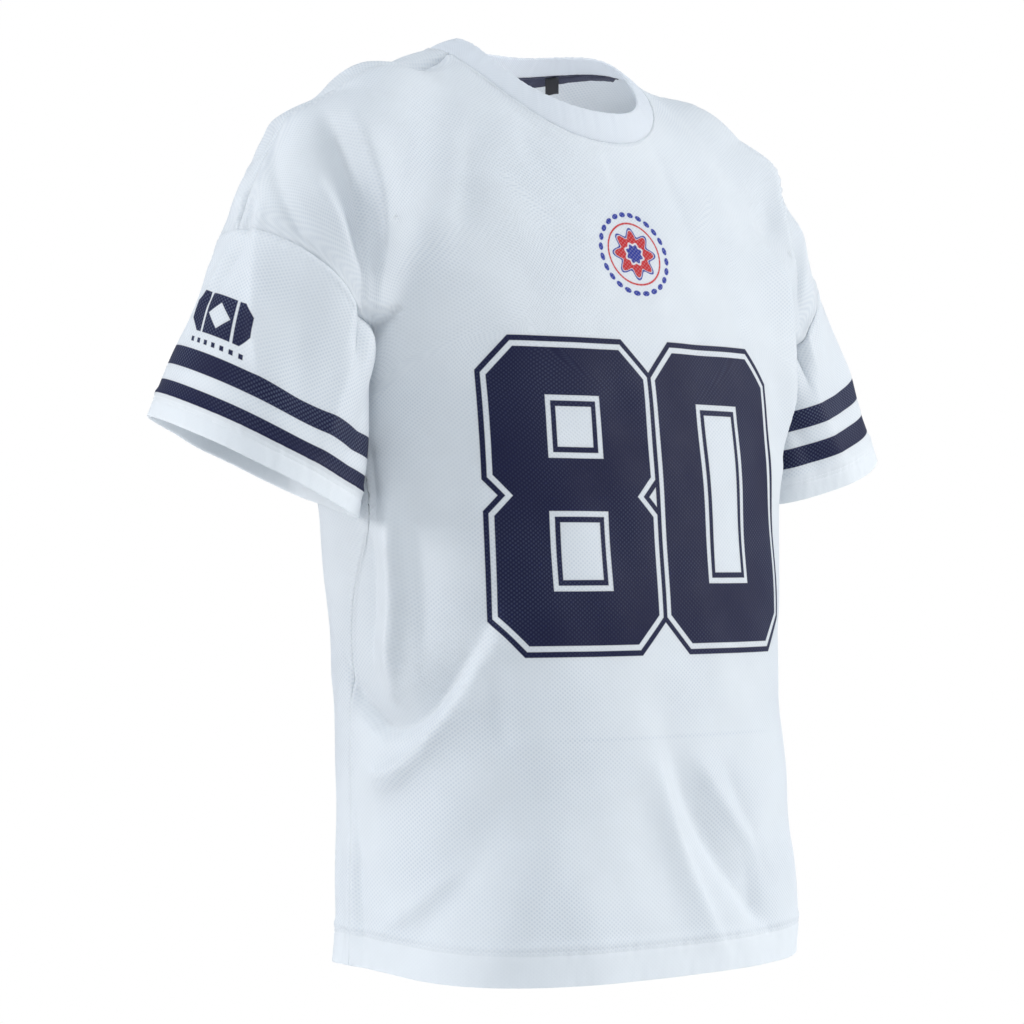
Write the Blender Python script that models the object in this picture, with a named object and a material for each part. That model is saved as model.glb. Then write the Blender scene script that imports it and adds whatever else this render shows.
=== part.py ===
"""Oversized short-sleeved t-shirt in football-jersey style, worn shape with nobody in it.

Metres, +Z up, the front faces -Y and the wearer's left is +X. The origin is between the two
points where the shoulder seams meet the neck, which is where the wearer carries the garment.
The cloth is a thin wall that follows one smooth form: a torso tube under a sloped shoulder
roof, joined with a tube for each arm. Every panel is a grid of points laid on that form.
"""

import math

import bmesh
import bpy
import numpy as np

# ---- driving sizes -------------------------------------------------------------------------
BODY_LENGTH = 0.790          # from the neck end of the shoulder seam down to the hem
HEM_SIDE_RISE = 0.010        # the hem is a little higher at the side seams
HEM_RISE_REACH = 0.10        # and falls to its full length over this distance
HEM_DEPTH = 0.027            # hem turned up inside, so the wall is double there
NECK_HALF_WIDTH = 0.105
NECK_MIDDLE_Y = 0.007
NECK_FRONT_REACH = 0.090     # from the neck's middle forward to the neckline
NECK_BACK_REACH = 0.085
NECK_SQUARENESS = 2.18
UNDERARM = (0.241, 0.004, -0.300)       # where side seam, armhole and sleeve seam meet
ARMHOLE_TOP = (0.322, 0.012, -0.171)    # outer end of the shoulder seam, dropped down the arm
ARMHOLE_FRONT_REACH = 0.066
ARMHOLE_BACK_REACH = 0.092
ARMHOLE_SCOOP = 0.020        # the armhole is cut in towards the chest at front and back
SEAM_SWING = 0.045           # the side seam swings this far forward below the arm
SEAM_SWING_HEIGHT = -0.385
SEAM_SWING_REACH = 0.075
CUFF_HEM_DEPTH = 0.023
WALL = 0.0012                # one layer of the mesh knit
COLLAR_WIDTH = 0.0275
COLLAR_WALL = 0.0022         # the collar band is folded double
COLLAR_RISE = 40.0           # mean slope of the collar band, in degrees from level
COLLAR_RISE_FRONT = 24.0     # how much more it rises in front, and less behind
COLLAR_RISE_ENDS = 14.0      # how much more it rises in front and behind, and less at the sides
TAPE_WIDTH = 0.012
TAPE_WALL = 0.0010
TAB_WIDTH = 0.0105
TAB_DROP = 0.014
TAB_PLACE = 0.074            # towards the wearer's left, as it shows
TAB_TOP = 0.003              # below the neckline, on the tape
SEAM_GAP = 0.0003            # between pieces that are sewn together
LAP_GAP = 0.0010             # where the sleeve folds back on the body under the arm
LAP_ENDS = (0.40, 0.88)      # shares of the armhole's height between which the lap runs out
SEAM_REACH = 0.45            # share of the sleeve's length over which it turns off the body
TAPE_GAP = 0.0014            # between the tape and the panel, whose facets are flat
CLEARANCE = 0.0050           # between the inside of a sleeve and the side of the body

# ---- torso: level sections, from the hem up ------------------------------------------------
# height, half width, front depth, back depth, how square the front corners are
TORSO_SECTIONS = np.array([
    (-0.80, 0.220, 0.182, 0.124, 2.8),
    (-0.70, 0.218, 0.176, 0.121, 2.8),
    (-0.58, 0.217, 0.168, 0.121, 2.7),
    (-0.48, 0.223, 0.160, 0.130, 2.6),
    (-0.38, 0.237, 0.152, 0.137, 2.4),
    (-0.28, 0.241, 0.142, 0.138, 2.3),
    (-0.16, 0.238, 0.126, 0.133, 2.2),
    (-0.05, 0.232, 0.112, 0.122, 2.1),
    (0.06, 0.230, 0.104, 0.112, 2.1),
])
BACK_SQUARENESS = 2.0

# ---- shoulder roof -------------------------------------------------------------------------
ROOF_TOP = 0.0298            # height of the ridge in the middle, before the neck is cut
ROOF_SLOPE = 0.490           # fall of the shoulder line from the neck outwards
ROOF_RIDGE_Y = 0.039
ROOF_ROUND = 0.103            # rounds the ridge in the middle
ROOF_CURVE_FRONT = 7.0       # fall of the roof towards the chest
ROOF_CURVE_BACK = 7.5
ROOF_BLEND = 0.05            # rounding between roof and torso tube

# ---- arm line and sleeve sections ----------------------------------------------------------
ARM_TOP = np.array([0.207, 0.012, -0.108])
ARM_TILT = math.radians(23.5)
ARM_CAP = 0.10               # the inner end of the arm tube is a round cap of this length
# along the arm line, outer, under, front and back half sizes
SLEEVE_SECTIONS = np.array([
    (-0.05, 0.057, 0.050, 0.058, 0.066),
    (0.00, 0.085, 0.052, 0.068, 0.076),
    (0.05, 0.089, 0.056, 0.075, 0.084),
    (0.12, 0.086, 0.070, 0.077, 0.088),
    (0.20, 0.089, 0.090, 0.082, 0.090),
    (0.28, 0.090, 0.104, 0.088, 0.090),
    (0.36, 0.090, 0.112, 0.088, 0.090),
])
SLEEVE_ROUNDNESS = 2.1
# length down the arm line, then how much longer the cuff is on its outer side and its back
CUFFS = {"right": (0.274, 0.02, -0.19), "left": (0.284, 0.16, -0.10)}
JOIN_BLEND_TOP = 0.020       # rounding between arm and torso over the shoulder
JOIN_BLEND_LOW = 0.018       # and at the front and back of the armpit
JOIN_HEIGHTS = (-0.24, -0.10)  # the rounding goes from the one to the other between these
JOIN_LOW_END = -0.228        # below this height the panels follow the torso alone
JOIN_FADE = 0.05             # over this height the arms leave the panels' form
JOIN_PARTING = 0.10          # by moving so far away from it
ARMPIT_ROUND = 0.014         # rounding where the sleeve's inside turns along the torso

# ---- main folds of the body ----------------------------------------------------------------
# turn in degrees from the centre front, positive to the wearer's left, and height at each end;
# half width of the fold; depth, where below zero is a trough
BODY_FOLDS = np.array([
    (-68, -0.37, -70, -0.53, 0.020, 0.0060),
    (-80, -0.38, -84, -0.50, 0.016, -0.0050),
    (-92, -0.54, -70, -0.585, 0.020, -0.0060),
    (-70, -0.585, -44, -0.50, 0.024, -0.0070),
    (-90, -0.60, -66, -0.625, 0.020, 0.0040),
    (-66, -0.625, -42, -0.53, 0.022, 0.0035),
    (-46, -0.62, -72, -0.76, 0.030, -0.0060),
    (-30, -0.66, -48, -0.79, 0.026, 0.0045),
    (-5, -0.60, 4, -0.75, 0.022, 0.0045),
    (6, -0.60, 26, -0.77, 0.026, -0.0055),
    (18, -0.62, 42, -0.74, 0.024, 0.0050),
    (66, -0.36, 50, -0.56, 0.026, -0.0060),
    (78, -0.42, 76, -0.66, 0.024, 0.0060),
    (52, -0.64, 70, -0.78, 0.028, -0.0060),
    (112, -0.36, 138, -0.56, 0.028, -0.0060),
    (-110, -0.37, -134, -0.55, 0.026, -0.0055),
    (170, -0.30, 150, -0.48, 0.030, 0.0040),
    (-165, -0.46, -140, -0.70, 0.032, -0.0065),
    (160, -0.56, 132, -0.76, 0.032, -0.0060),
    (180, -0.58, 186, -0.77, 0.030, 0.0050),
    (-118, -0.62, -112, -0.78, 0.026, 0.0050),
    (-24, -0.10, -52, -0.20, 0.022, -0.0030),
    (26, -0.10, 54, -0.20, 0.022, -0.0030),
])
METRES_PER_DEGREE = 0.0034
# folds of the dropped shoulder, above the armhole seam, and of the sleeve below it: angle about
# the arm line, 0 on its outer side and positive to the front, and the way along it, at each end
ARM_FOLDS = np.array([
    (8, 0.005, 76, 0.105, 0.016, -0.0060),
    (-8, 0.055, 6, 0.100, 0.010, 0.0045),
    (14, 0.112, 36, 0.215, 0.016, 0.0050),
    (48, 0.135, 78, 0.250, 0.020, -0.0055),
    (96, 0.150, 92, 0.270, 0.018, 0.0040),
    (-38, 0.125, -58, 0.240, 0.022, -0.0060),
    (-84, 0.140, -96, 0.260, 0.022, 0.0045),
    (-60, 0.010, -30, 0.095, 0.016, -0.0045),
])
ARM_METRES_PER_DEGREE = 0.0015
FOLD_END = 0.35              # depth at a fold's ends, as a share of its middle's
FOLD_SWELL = 0.7             # how soon a fold reaches its full depth
FOLD_SHARE_WIDTH = 0.03      # over this distance the arm's folds take over from the body's

# ---- how fine the grids are ----------------------------------------------------------------
SHOULDER_CELLS = 10
FRONT_NECK_CELLS = 16
BACK_NECK_CELLS = 16
SIDE_CELLS = 16              # hem to underarm
ARMHOLE_CELLS = 14           # underarm to shoulder, front or back
SLEEVE_CELLS = 7             # armhole to cuff
COLLAR_CELLS = 3
TAPE_SHORT_CELLS = 2         # the tape ends so many cells before each shoulder seam

ARM_AXIS = np.array([math.sin(ARM_TILT), 0.0, -math.cos(ARM_TILT)])
ARM_OUT = np.array([math.cos(ARM_TILT), 0.0, math.sin(ARM_TILT)])


def spline(rows, column):
    """A smooth curve through one column of a section table, against its first column."""
    x = rows[:, 0]
    y = rows[:, column]
    count = len(x)
    step = np.diff(x)
    system = np.eye(count)
    right = np.zeros(count)
    for i in range(1, count - 1):
        system[i, i - 1:i + 2] = step[i - 1], 2 * (step[i - 1] + step[i]), step[i]
        right[i] = 3 * ((y[i + 1] - y[i]) / step[i] - (y[i] - y[i - 1]) / step[i - 1])
    c = np.linalg.solve(system, right)
    b = np.diff(y) / step - step * (2 * c[:-1] + c[1:]) / 3
    d = np.diff(c) / (3 * step)

    def value(at):
        at = np.clip(at, x[0], x[-1])
        i = np.clip(np.searchsorted(x, at, side="right") - 1, 0, count - 2)
        t = at - x[i]
        return y[i] + b[i] * t + c[i] * t ** 2 + d[i] * t ** 3

    return value


half_width, front_depth, back_depth, front_squareness = (
    spline(TORSO_SECTIONS, column) for column in range(1, 5))
arm_outer, arm_under, arm_front, arm_back = (
    spline(SLEEVE_SECTIONS, column) for column in range(1, 5))


def ease(low, high, x):
    t = np.clip((x - low) / (high - low), 0, 1)
    return t * t * (3 - 2 * t)


def smooth_min(a, b, blend):
    h = np.clip(0.5 + 0.5 * (b - a) / blend, 0, 1)
    return b * (1 - h) + a * h - blend * h * (1 - h)


def torso_form(p):
    """Below zero inside the torso tube and under the shoulder roof, near enough in metres."""
    x, y, z = p.T
    width = half_width(z)
    depth = np.where(y < 0, front_depth(z), back_depth(z))
    power = np.where(y < 0, front_squareness(z), BACK_SQUARENESS)
    ring = ((np.abs(x) / width) ** power + (np.abs(y) / depth) ** power) ** (1 / power)
    side = (ring - 1) * 0.42 * (width + depth)
    across = np.sqrt(x * x + ROOF_ROUND ** 2) - ROOF_ROUND
    forward = y - ROOF_RIDGE_Y
    curve = np.where(forward < 0, ROOF_CURVE_FRONT, ROOF_CURVE_BACK)
    roof = z - ROOF_TOP + ROOF_SLOPE * across + curve * forward ** 2
    roof = roof / np.sqrt(1 + ROOF_SLOPE ** 2 + (2 * curve * forward) ** 2)
    return -smooth_min(-side, -roof, ROOF_BLEND)


def arm_place(p):
    """Distance down the arm line, outwards from it, and behind it. Both arms alike."""
    q = np.stack([np.abs(p[:, 0]), p[:, 1], p[:, 2]], 1) - ARM_TOP
    return q @ ARM_AXIS, q @ ARM_OUT, q[:, 1]


def arm_form(p):
    along, out, back = arm_place(p)
    tall = np.where(out > 0, arm_outer(along), arm_under(along))
    deep = np.where(back < 0, arm_front(along), arm_back(along))
    cap = np.minimum(along, 0) / ARM_CAP
    n = SLEEVE_ROUNDNESS
    ring = (np.abs(out / tall) ** n + np.abs(back / deep) ** n + np.abs(cap) ** n) ** (1 / n)
    return (ring - 1) * 0.48 * (tall + deep)


def join_blend(z):
    return JOIN_BLEND_LOW + (JOIN_BLEND_TOP - JOIN_BLEND_LOW) * ease(*JOIN_HEIGHTS, z)


def body_form(p):
    """The torso joined with the arms, which fade away below the front of the armhole."""
    z = p[:, 2]
    away = JOIN_PARTING * ease(0.0, JOIN_FADE, JOIN_LOW_END - z)
    return smooth_min(torso_form(p), arm_form(p) + away, join_blend(z))


def sleeve_form(p):
    """The arm tube, kept clear of the side of the torso."""
    return -smooth_min(-arm_form(p), torso_form(p) - CLEARANCE - WALL, ARMPIT_ROUND)


def gradient(form, p, step=2e-4):
    g = np.empty_like(p)
    for axis in range(3):
        d = np.zeros(3)
        d[axis] = step
        g[:, axis] = (form(p + d) - form(p - d)) / (2 * step)
    return g


def settle(form, p, rounds=14):
    """Moves points along the slope of a form until they lie on its surface."""
    p = np.array(p, float)
    for _ in range(rounds):
        g = gradient(form, p)
        size = np.sqrt((g * g).sum(1)) + 1e-9
        p -= g * (np.clip(form(p) / size, -0.02, 0.02) / size)[:, None]
    return p


def unit(v):
    return v / (np.sqrt((v * v).sum(-1, keepdims=True)) + 1e-12)


def settle_grid(form, grid, rounds):
    return settle(form, grid.reshape(-1, 3), rounds).reshape(grid.shape)


def outwards(form, grid):
    return unit(gradient(form, grid.reshape(-1, 3))).reshape(grid.shape)


def mirrored(points):
    return points * np.array([-1.0, 1.0, 1.0])


def even(points, cells):
    """The same curve with its points evenly spaced."""
    steps = np.linalg.norm(np.diff(points, axis=0), axis=1)
    along = np.concatenate([[0.0], np.cumsum(steps)])
    places = np.linspace(0.0, along[-1], cells + 1)
    return np.stack([np.interp(places, along, points[:, axis]) for axis in range(3)], 1)


# ---- seam curves, on the wearer's left ------------------------------------------------------
def signed_power(value, power):
    return np.sign(value) * np.abs(value) ** power


def dropped(form, x, y):
    """Places in plan dropped straight down on a form, found by halving."""
    low = np.full(len(x), -0.26)
    high = np.full(len(x), 0.10)
    for _ in range(40):
        middle = (low + high) / 2
        inside = form(np.stack([x, y, middle], 1)) < 0
        low = np.where(inside, middle, low)
        high = np.where(inside, high, middle)
    return np.stack([x, y, low], 1)


def neckline(turn):
    """Points of the neckline: turn 0 at the centre front, a quarter turn at the wearer's left."""
    power = 2 / NECK_SQUARENESS
    reach = np.where(np.cos(turn) > 0, NECK_FRONT_REACH, NECK_BACK_REACH)
    x = NECK_HALF_WIDTH * signed_power(np.sin(turn), power)
    y = NECK_MIDDLE_Y - reach * signed_power(np.cos(turn), power)
    return dropped(torso_form, x, y)


def armhole(reach):
    """Half the armhole seam, from the underarm to its top; reach is below zero for the front."""
    turn = np.linspace(0.0, math.pi, 90)
    lift = ((1 - np.cos(turn)) / 2)[:, None]
    points = np.array(UNDERARM) * (1 - lift) + np.array(ARMHOLE_TOP) * lift
    points[:, 0] -= ARMHOLE_SCOOP * np.sin(turn)
    points[:, 1] += reach * np.sin(turn)
    points = settle(body_form, points)
    for _ in range(4):
        points[1:-1] = settle(body_form, (points[:-2] + points[2:]) / 2, 3)
    return even(points, ARMHOLE_CELLS)


def hem_height(y):
    return -BODY_LENGTH + HEM_SIDE_RISE * np.exp(-(y / HEM_RISE_REACH) ** 2)


def hem(side):
    """Half the hem from the wearer's right to the left; side is -1 for the front, 1 for the back."""
    turn = np.linspace(-math.pi / 2, math.pi / 2, 400)
    squareness = BACK_SQUARENESS if side > 0 else front_squareness(-BODY_LENGTH)
    depth = back_depth(-BODY_LENGTH) if side > 0 else front_depth(-BODY_LENGTH)
    x = half_width(-BODY_LENGTH) * signed_power(np.sin(turn), 2 / squareness)
    y = side * depth * np.abs(np.cos(turn)) ** (2 / squareness)
    cells = 2 * SHOULDER_CELLS + (BACK_NECK_CELLS if side > 0 else FRONT_NECK_CELLS)
    points = even(np.stack([x, y, hem_height(y)], 1), cells)
    return points


def side_seam():
    heights = np.linspace(hem_height(0), UNDERARM[2], SIDE_CELLS + 1)
    swing = np.exp(-((heights - SEAM_SWING_HEIGHT) / SEAM_SWING_REACH) ** 2)
    forward = UNDERARM[1] - SEAM_SWING * swing * ease(0.0, 0.06, UNDERARM[2] - heights)
    return settle(body_form, np.stack([half_width(heights), forward, heights], 1))


def shoulder_seam(top):
    """From the armhole's top to the neck."""
    neck_end = neckline(np.array([math.pi / 2]))[0]
    share = np.linspace(0, 1, 90)
    x = top[0] * (1 - share) + neck_end[0] * share
    y = top[1] + (neck_end[1] - top[1]) * ease(0.0, 1.0, share)
    points = dropped(body_form, x, y)
    points[0] = top
    points[-1] = neck_end
    return even(points, SHOULDER_CELLS)


# ---- grids ---------------------------------------------------------------------------------
def patch(left, right, low, high):
    """A grid between four seam curves. Rows run from low to high, columns from left to right."""
    t = np.linspace(0, 1, len(left))[:, None, None]
    s = np.linspace(0, 1, len(low))[None, :, None]
    sides = (1 - s) * left[:, None] + s * right[:, None]
    ends = (1 - t) * low[None] + t * high[None]
    corners = ((1 - s) * (1 - t) * low[0] + s * (1 - t) * low[-1]
               + (1 - s) * t * high[0] + s * t * high[-1])
    return sides + ends - corners


def lay(form, grid, closed=False, rounds=80):
    """Spreads a grid evenly over a form, with its edges held."""
    grid = grid.copy()
    for _ in range(rounds):
        if closed:
            before = np.roll(grid, 1, axis=1)[1:-1]
            after = np.roll(grid, -1, axis=1)[1:-1]
            middle = (grid[:-2] + grid[2:] + before + after) / 4
            grid[1:-1] = settle_grid(form, middle, 1)
        else:
            middle = (grid[:-2, 1:-1] + grid[2:, 1:-1] + grid[1:-1, :-2] + grid[1:-1, 2:]) / 4
            grid[1:-1, 1:-1] = settle_grid(form, middle, 1)
    grid[1:-1] = settle_grid(form, grid[1:-1], 6) if closed else grid[1:-1]
    return grid


def split_row(grid, depth):
    """Replaces the second row by two rows close together, at the top of the turned-up hem."""
    step = grid[1] - grid[0]
    length = np.linalg.norm(step, axis=-1)[:, None]
    first = grid[0] + step * depth / length
    second = grid[0] + step * (depth + WALL) / length
    return np.concatenate([grid[:1], first[None], second[None], grid[2:]])


def normals_of(grid, closed):
    """Directions square to a grid, from its own neighbours."""
    if closed:
        across = np.roll(grid, -1, axis=1) - np.roll(grid, 1, axis=1)
    else:
        across = np.gradient(grid, axis=1)
    return unit(np.cross(across, np.gradient(grid, axis=0)))


def draw_in(grid, edges, amount=SEAM_GAP / 2):
    """Pulls sewn edges back by half a seam gap."""
    grid = grid.copy()
    if "low" in edges:
        grid[0] += unit(grid[1] - grid[0]) * amount
    if "high" in edges:
        grid[-1] += unit(grid[-2] - grid[-1]) * amount
    if "sides" in edges:
        grid[:, 0] += unit(grid[:, 1] - grid[:, 0]) * amount
        grid[:, -1] += unit(grid[:, -2] - grid[:, -1]) * amount
    return grid


# ---- folds ---------------------------------------------------------------------------------
def fold_depths(folds, at, scale, wrap):
    """Depth of the folds at places given as an angle in degrees and a length."""
    depth = np.zeros(len(at))
    for angle_a, along_a, angle_b, along_b, width, deep in folds:
        start = np.array([angle_a * scale, along_a])
        run = np.array([angle_b * scale, along_b]) - start
        angle = at[:, 0]
        if wrap:
            angle = angle + 360 * np.round(((angle_a + angle_b) / 2 - angle) / 360)
        away = np.stack([angle * scale, at[:, 1]], 1) - start
        share = (away @ run) / (run @ run)
        nearest = start + np.clip(share, 0, 1)[:, None] * run
        distance = np.linalg.norm(away + start - nearest, axis=1)
        swell = FOLD_END + (1 - FOLD_END) * np.sin(math.pi * np.clip(share, 0, 1)) ** FOLD_SWELL
        depth += deep * swell * np.exp(-(distance / width) ** 2)
    return depth


def body_places(p):
    """Turn about the torso in degrees from the centre front, and height."""
    depth = np.where(p[:, 1] < 0, front_depth(p[:, 2]), back_depth(p[:, 2]))
    turn = np.degrees(np.arctan2(p[:, 0] / half_width(p[:, 2]), -p[:, 1] / depth))
    return np.stack([turn, p[:, 2]], 1)


def arm_places(p):
    """Angle about the arm line in degrees, 0 on its outer side, and the way along it."""
    along, out, back = arm_place(p)
    return np.stack([np.degrees(np.arctan2(-back, out)), along], 1)


def folded(form, grid, on_sleeve):
    """Pushes the folds into a grid."""
    p = grid.reshape(-1, 3)
    arms = fold_depths(ARM_FOLDS, arm_places(p), ARM_METRES_PER_DEGREE, False)
    if on_sleeve:
        depth = arms
    else:
        reach = ease(0.0, FOLD_SHARE_WIDTH, torso_form(p))
        body = fold_depths(BODY_FOLDS, body_places(p), METRES_PER_DEGREE, True)
        depth = arms * reach + body * (1 - reach)
    return (p + unit(gradient(form, p)) * depth[:, None]).reshape(grid.shape)


# ---- solids --------------------------------------------------------------------------------
def material(name, colour, roughness):
    finish = bpy.data.materials.new(name)
    finish.use_nodes = True
    shader = finish.node_tree.nodes["Principled BSDF"]
    shader.inputs["Base Color"].default_value = (*colour, 1.0)
    shader.inputs["Roughness"].default_value = roughness
    finish.diffuse_color = (*colour, 1.0)
    return finish


def add_wall(name, finish, grid, normals, outer, inner, closed=False):
    """A closed wall round a grid: outer and inner say how far it reaches on each side."""
    rows, columns = grid.shape[:2]
    skin = grid + normals * np.broadcast_to(outer, grid.shape[:2])[..., None]
    lining = grid - normals * np.broadcast_to(inner, grid.shape[:2])[..., None]
    mesh = bmesh.new()
    sheets = []
    for sheet in (skin, lining):
        sheets.append([[mesh.verts.new(point) for point in row] for row in sheet])
    last = columns if closed else columns - 1
    for row in range(rows - 1):
        for column in range(last):
            beside = (column + 1) % columns
            for sheet in sheets:
                mesh.faces.new((sheet[row][column], sheet[row][beside],
                                sheet[row + 1][beside], sheet[row + 1][column]))
    for row in (0, rows - 1):
        for column in range(last):
            beside = (column + 1) % columns
            mesh.faces.new((sheets[0][row][column], sheets[0][row][beside],
                            sheets[1][row][beside], sheets[1][row][column]))
    if not closed:
        for column in (0, columns - 1):
            for row in range(rows - 1):
                mesh.faces.new((sheets[0][row][column], sheets[0][row + 1][column],
                                sheets[1][row + 1][column], sheets[1][row][column]))
    bmesh.ops.recalc_face_normals(mesh, faces=mesh.faces)
    data = bpy.data.meshes.new(name)
    mesh.to_mesh(data)
    mesh.free()
    data.materials.append(finish)
    data.shade_smooth()
    piece = bpy.data.objects.new(name, data)
    bpy.context.collection.objects.link(piece)
    return piece


def hem_thickness(grid, rows_of_hem):
    """How far the wall reaches inwards: one layer, and two where the hem is turned up."""
    reach = np.full(grid.shape[:2], WALL / 2)
    reach[:rows_of_hem] += WALL
    return reach


def collar_rise(turn):
    """Slope of the collar band: steep at the front, less at the back, nearly flat at the sides."""
    ends = COLLAR_RISE_ENDS * np.cos(2 * turn)
    return np.radians(COLLAR_RISE + COLLAR_RISE_FRONT * np.cos(turn) + ends)


def collar_grid(turn):
    """The collar band on the neckline, with its own directions."""
    seam = neckline(turn)
    ahead = neckline(turn + 0.01)
    along = unit(ahead - seam)
    inward = unit(np.stack([-along[:, 1], along[:, 0], np.zeros(len(turn))], 1))
    rise = collar_rise(turn)[:, None]
    up = unit(inward * np.cos(rise) + np.array([0, 0, 1.0]) * np.sin(rise))
    share = np.linspace(0, 1, COLLAR_CELLS + 1)
    grid = np.stack([seam + up * COLLAR_WIDTH * t for t in share])
    outside = unit(np.cross(along, up))
    return grid, np.broadcast_to(outside, grid.shape).copy()


def neck_mitre(turn):
    """The direction shared by the panels' edge and the collar's edge at the neckline."""
    seam = neckline(turn)
    collar_side = collar_grid(turn)[1][0]
    return unit(collar_side + unit(gradient(body_form, seam)))


def body_panel(name, finish, side, armhole_curve, seam, shoulder):
    """Front (side -1) or back (side 1), from the hem up to the neckline and shoulder seams."""
    neck_cells = BACK_NECK_CELLS if side > 0 else FRONT_NECK_CELLS
    neck_turn = np.linspace(-math.pi / 2, math.pi / 2, neck_cells + 1)
    if side > 0:
        neck_turn = math.pi - neck_turn
    neck = neckline(neck_turn)
    left = np.concatenate([seam, armhole_curve[1:]])
    top = np.concatenate([mirrored(shoulder), neck[1:-1], shoulder[::-1]])
    flat = lay(body_form, patch(mirrored(left), left, hem(side), top))
    flat[1:-1, 1:-1] = settle_grid(body_form, flat[1:-1, 1:-1], 6)
    flat = split_row(flat, HEM_DEPTH)
    directions = outwards(body_form, flat)
    grid = folded(body_form, flat, False)
    normals = normals_of(grid, False)
    normals *= np.sign((normals * directions).sum(-1, keepdims=True))
    normals[-1] = directions[-1]
    normals[:, 0] = directions[:, 0]
    normals[:, -1] = directions[:, -1]
    normals[-1, SHOULDER_CELLS:-SHOULDER_CELLS] = neck_mitre(neck_turn)
    grid = draw_in(grid, ("high", "sides"))
    add_wall(name, finish, grid, normals, WALL / 2, hem_thickness(grid, 2))
    return grid, normals


def cuff_loop(side):
    """The cuff's edge, settled on the sleeve's form within its slanting plane."""
    length, outer_longer, back_longer = CUFFS[side]
    turn = np.linspace(0, 2 * math.pi, 240)
    out = -arm_outer(length) * np.cos(turn)
    back = -arm_front(length) * np.sin(turn)
    for _ in range(25):
        along = length + outer_longer * out + back_longer * back
        p = ARM_TOP + along[:, None] * ARM_AXIS + out[:, None] * ARM_OUT
        p[:, 1] += back
        p = settle(sleeve_form, p, 1)
        along, out, back = arm_place(p)
    front = even(p[:121], ARMHOLE_CELLS)
    rear = even(p[120:], ARMHOLE_CELLS)
    return np.concatenate([front, rear[1:-1]])


def sleeve(side, finish, front_curve, back_curve):
    """A tube from the armhole seam to the cuff, hanging just clear of the body."""
    seam_loop = np.concatenate([front_curve, back_curve[::-1][1:-1]])
    height = (seam_loop[:, 2] - UNDERARM[2]) / (ARMHOLE_TOP[2] - UNDERARM[2])
    lapped = 1 - ease(*LAP_ENDS, height)
    start = settle(sleeve_form, seam_loop)
    end = cuff_loop(side)
    share = np.linspace(0, 1, SLEEVE_CELLS + 1)[:, None, None]
    flat = start * (1 - share) + end * share
    flat = lay(sleeve_form, flat, closed=True)
    edge = seam_loop + unit(gradient(torso_form, seam_loop)) * ((WALL + LAP_GAP) * lapped)[:, None]
    flat = split_row(flat[::-1], CUFF_HEM_DEPTH)[::-1]
    fade = 1 - ease(0.0, SEAM_REACH, np.linspace(0, 1, len(flat)))[:, None, None]
    grid = folded(sleeve_form, flat, True)
    on_seam = folded(body_form, edge[None], False)[0]
    grid = grid + (on_seam - grid[0]) * fade
    directions = outwards(sleeve_form, grid)
    normals = normals_of(grid, True)
    normals *= np.sign((normals * directions).sum(-1, keepdims=True))
    body_side = unit(gradient(body_form, seam_loop))
    normals[0] = unit(body_side * (1 - lapped)[:, None] + normals[0] * lapped[:, None])
    grid = draw_in(grid, ("low",), 1.5 * SEAM_GAP)
    if side == "right":
        grid = mirrored(grid)
        normals = mirrored(normals)
    reach = hem_thickness(grid[::-1], 2)[::-1]
    return add_wall("sleeve_" + side, finish, grid, normals, WALL / 2, reach, closed=True)


def collar(finish):
    front = np.linspace(-math.pi / 2, math.pi / 2, FRONT_NECK_CELLS + 1)[:-1]
    back = np.linspace(math.pi / 2, 3 * math.pi / 2, BACK_NECK_CELLS + 1)[:-1]
    turn = np.concatenate([front, back])
    grid, normals = collar_grid(turn)
    normals[0] = neck_mitre(turn)
    grid = draw_in(grid, ("low",))
    return add_wall("collar", finish, grid, normals, COLLAR_WALL / 2, COLLAR_WALL / 2, closed=True)


def strip_of(panel, columns, drops, inside):
    """Points along a panel's top edge, each so far down its columns and so far inside it."""
    grid, normals = panel
    first = np.floor(columns).astype(int)
    share = (columns - first)[:, None]
    edge = grid[-1, first] * (1 - share) + grid[-1, first + 1] * share
    below = grid[-2, first] * (1 - share) + grid[-2, first + 1] * share
    square = unit(normals[-1, first] * (1 - share) + normals[-1, first + 1] * share)
    square_below = unit(normals[-2, first] * (1 - share) + normals[-2, first + 1] * share)
    rows = []
    for drop in drops:
        part = drop / np.linalg.norm(below - edge, axis=1)[:, None]
        direction = unit(square * (1 - part) + square_below * part)
        rows.append((edge * (1 - part) + below * part - direction * inside, direction))
    return np.stack([row[0] for row in rows]), np.stack([row[1] for row in rows])


def neck_tape(finish, back):
    """Binds the inside of the back neck seam, from shoulder to shoulder."""
    columns = np.linspace(SHOULDER_CELLS, SHOULDER_CELLS + BACK_NECK_CELLS, BACK_NECK_CELLS + 1)
    columns = columns[TAPE_SHORT_CELLS:-TAPE_SHORT_CELLS]
    inside = WALL / 2 + TAPE_GAP + TAPE_WALL / 2
    grid, normals = strip_of(back, columns, np.linspace(SEAM_GAP, TAPE_WIDTH, 3), inside)
    add_wall("neck_tape", finish, grid, normals, TAPE_WALL / 2, TAPE_WALL / 2)


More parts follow.
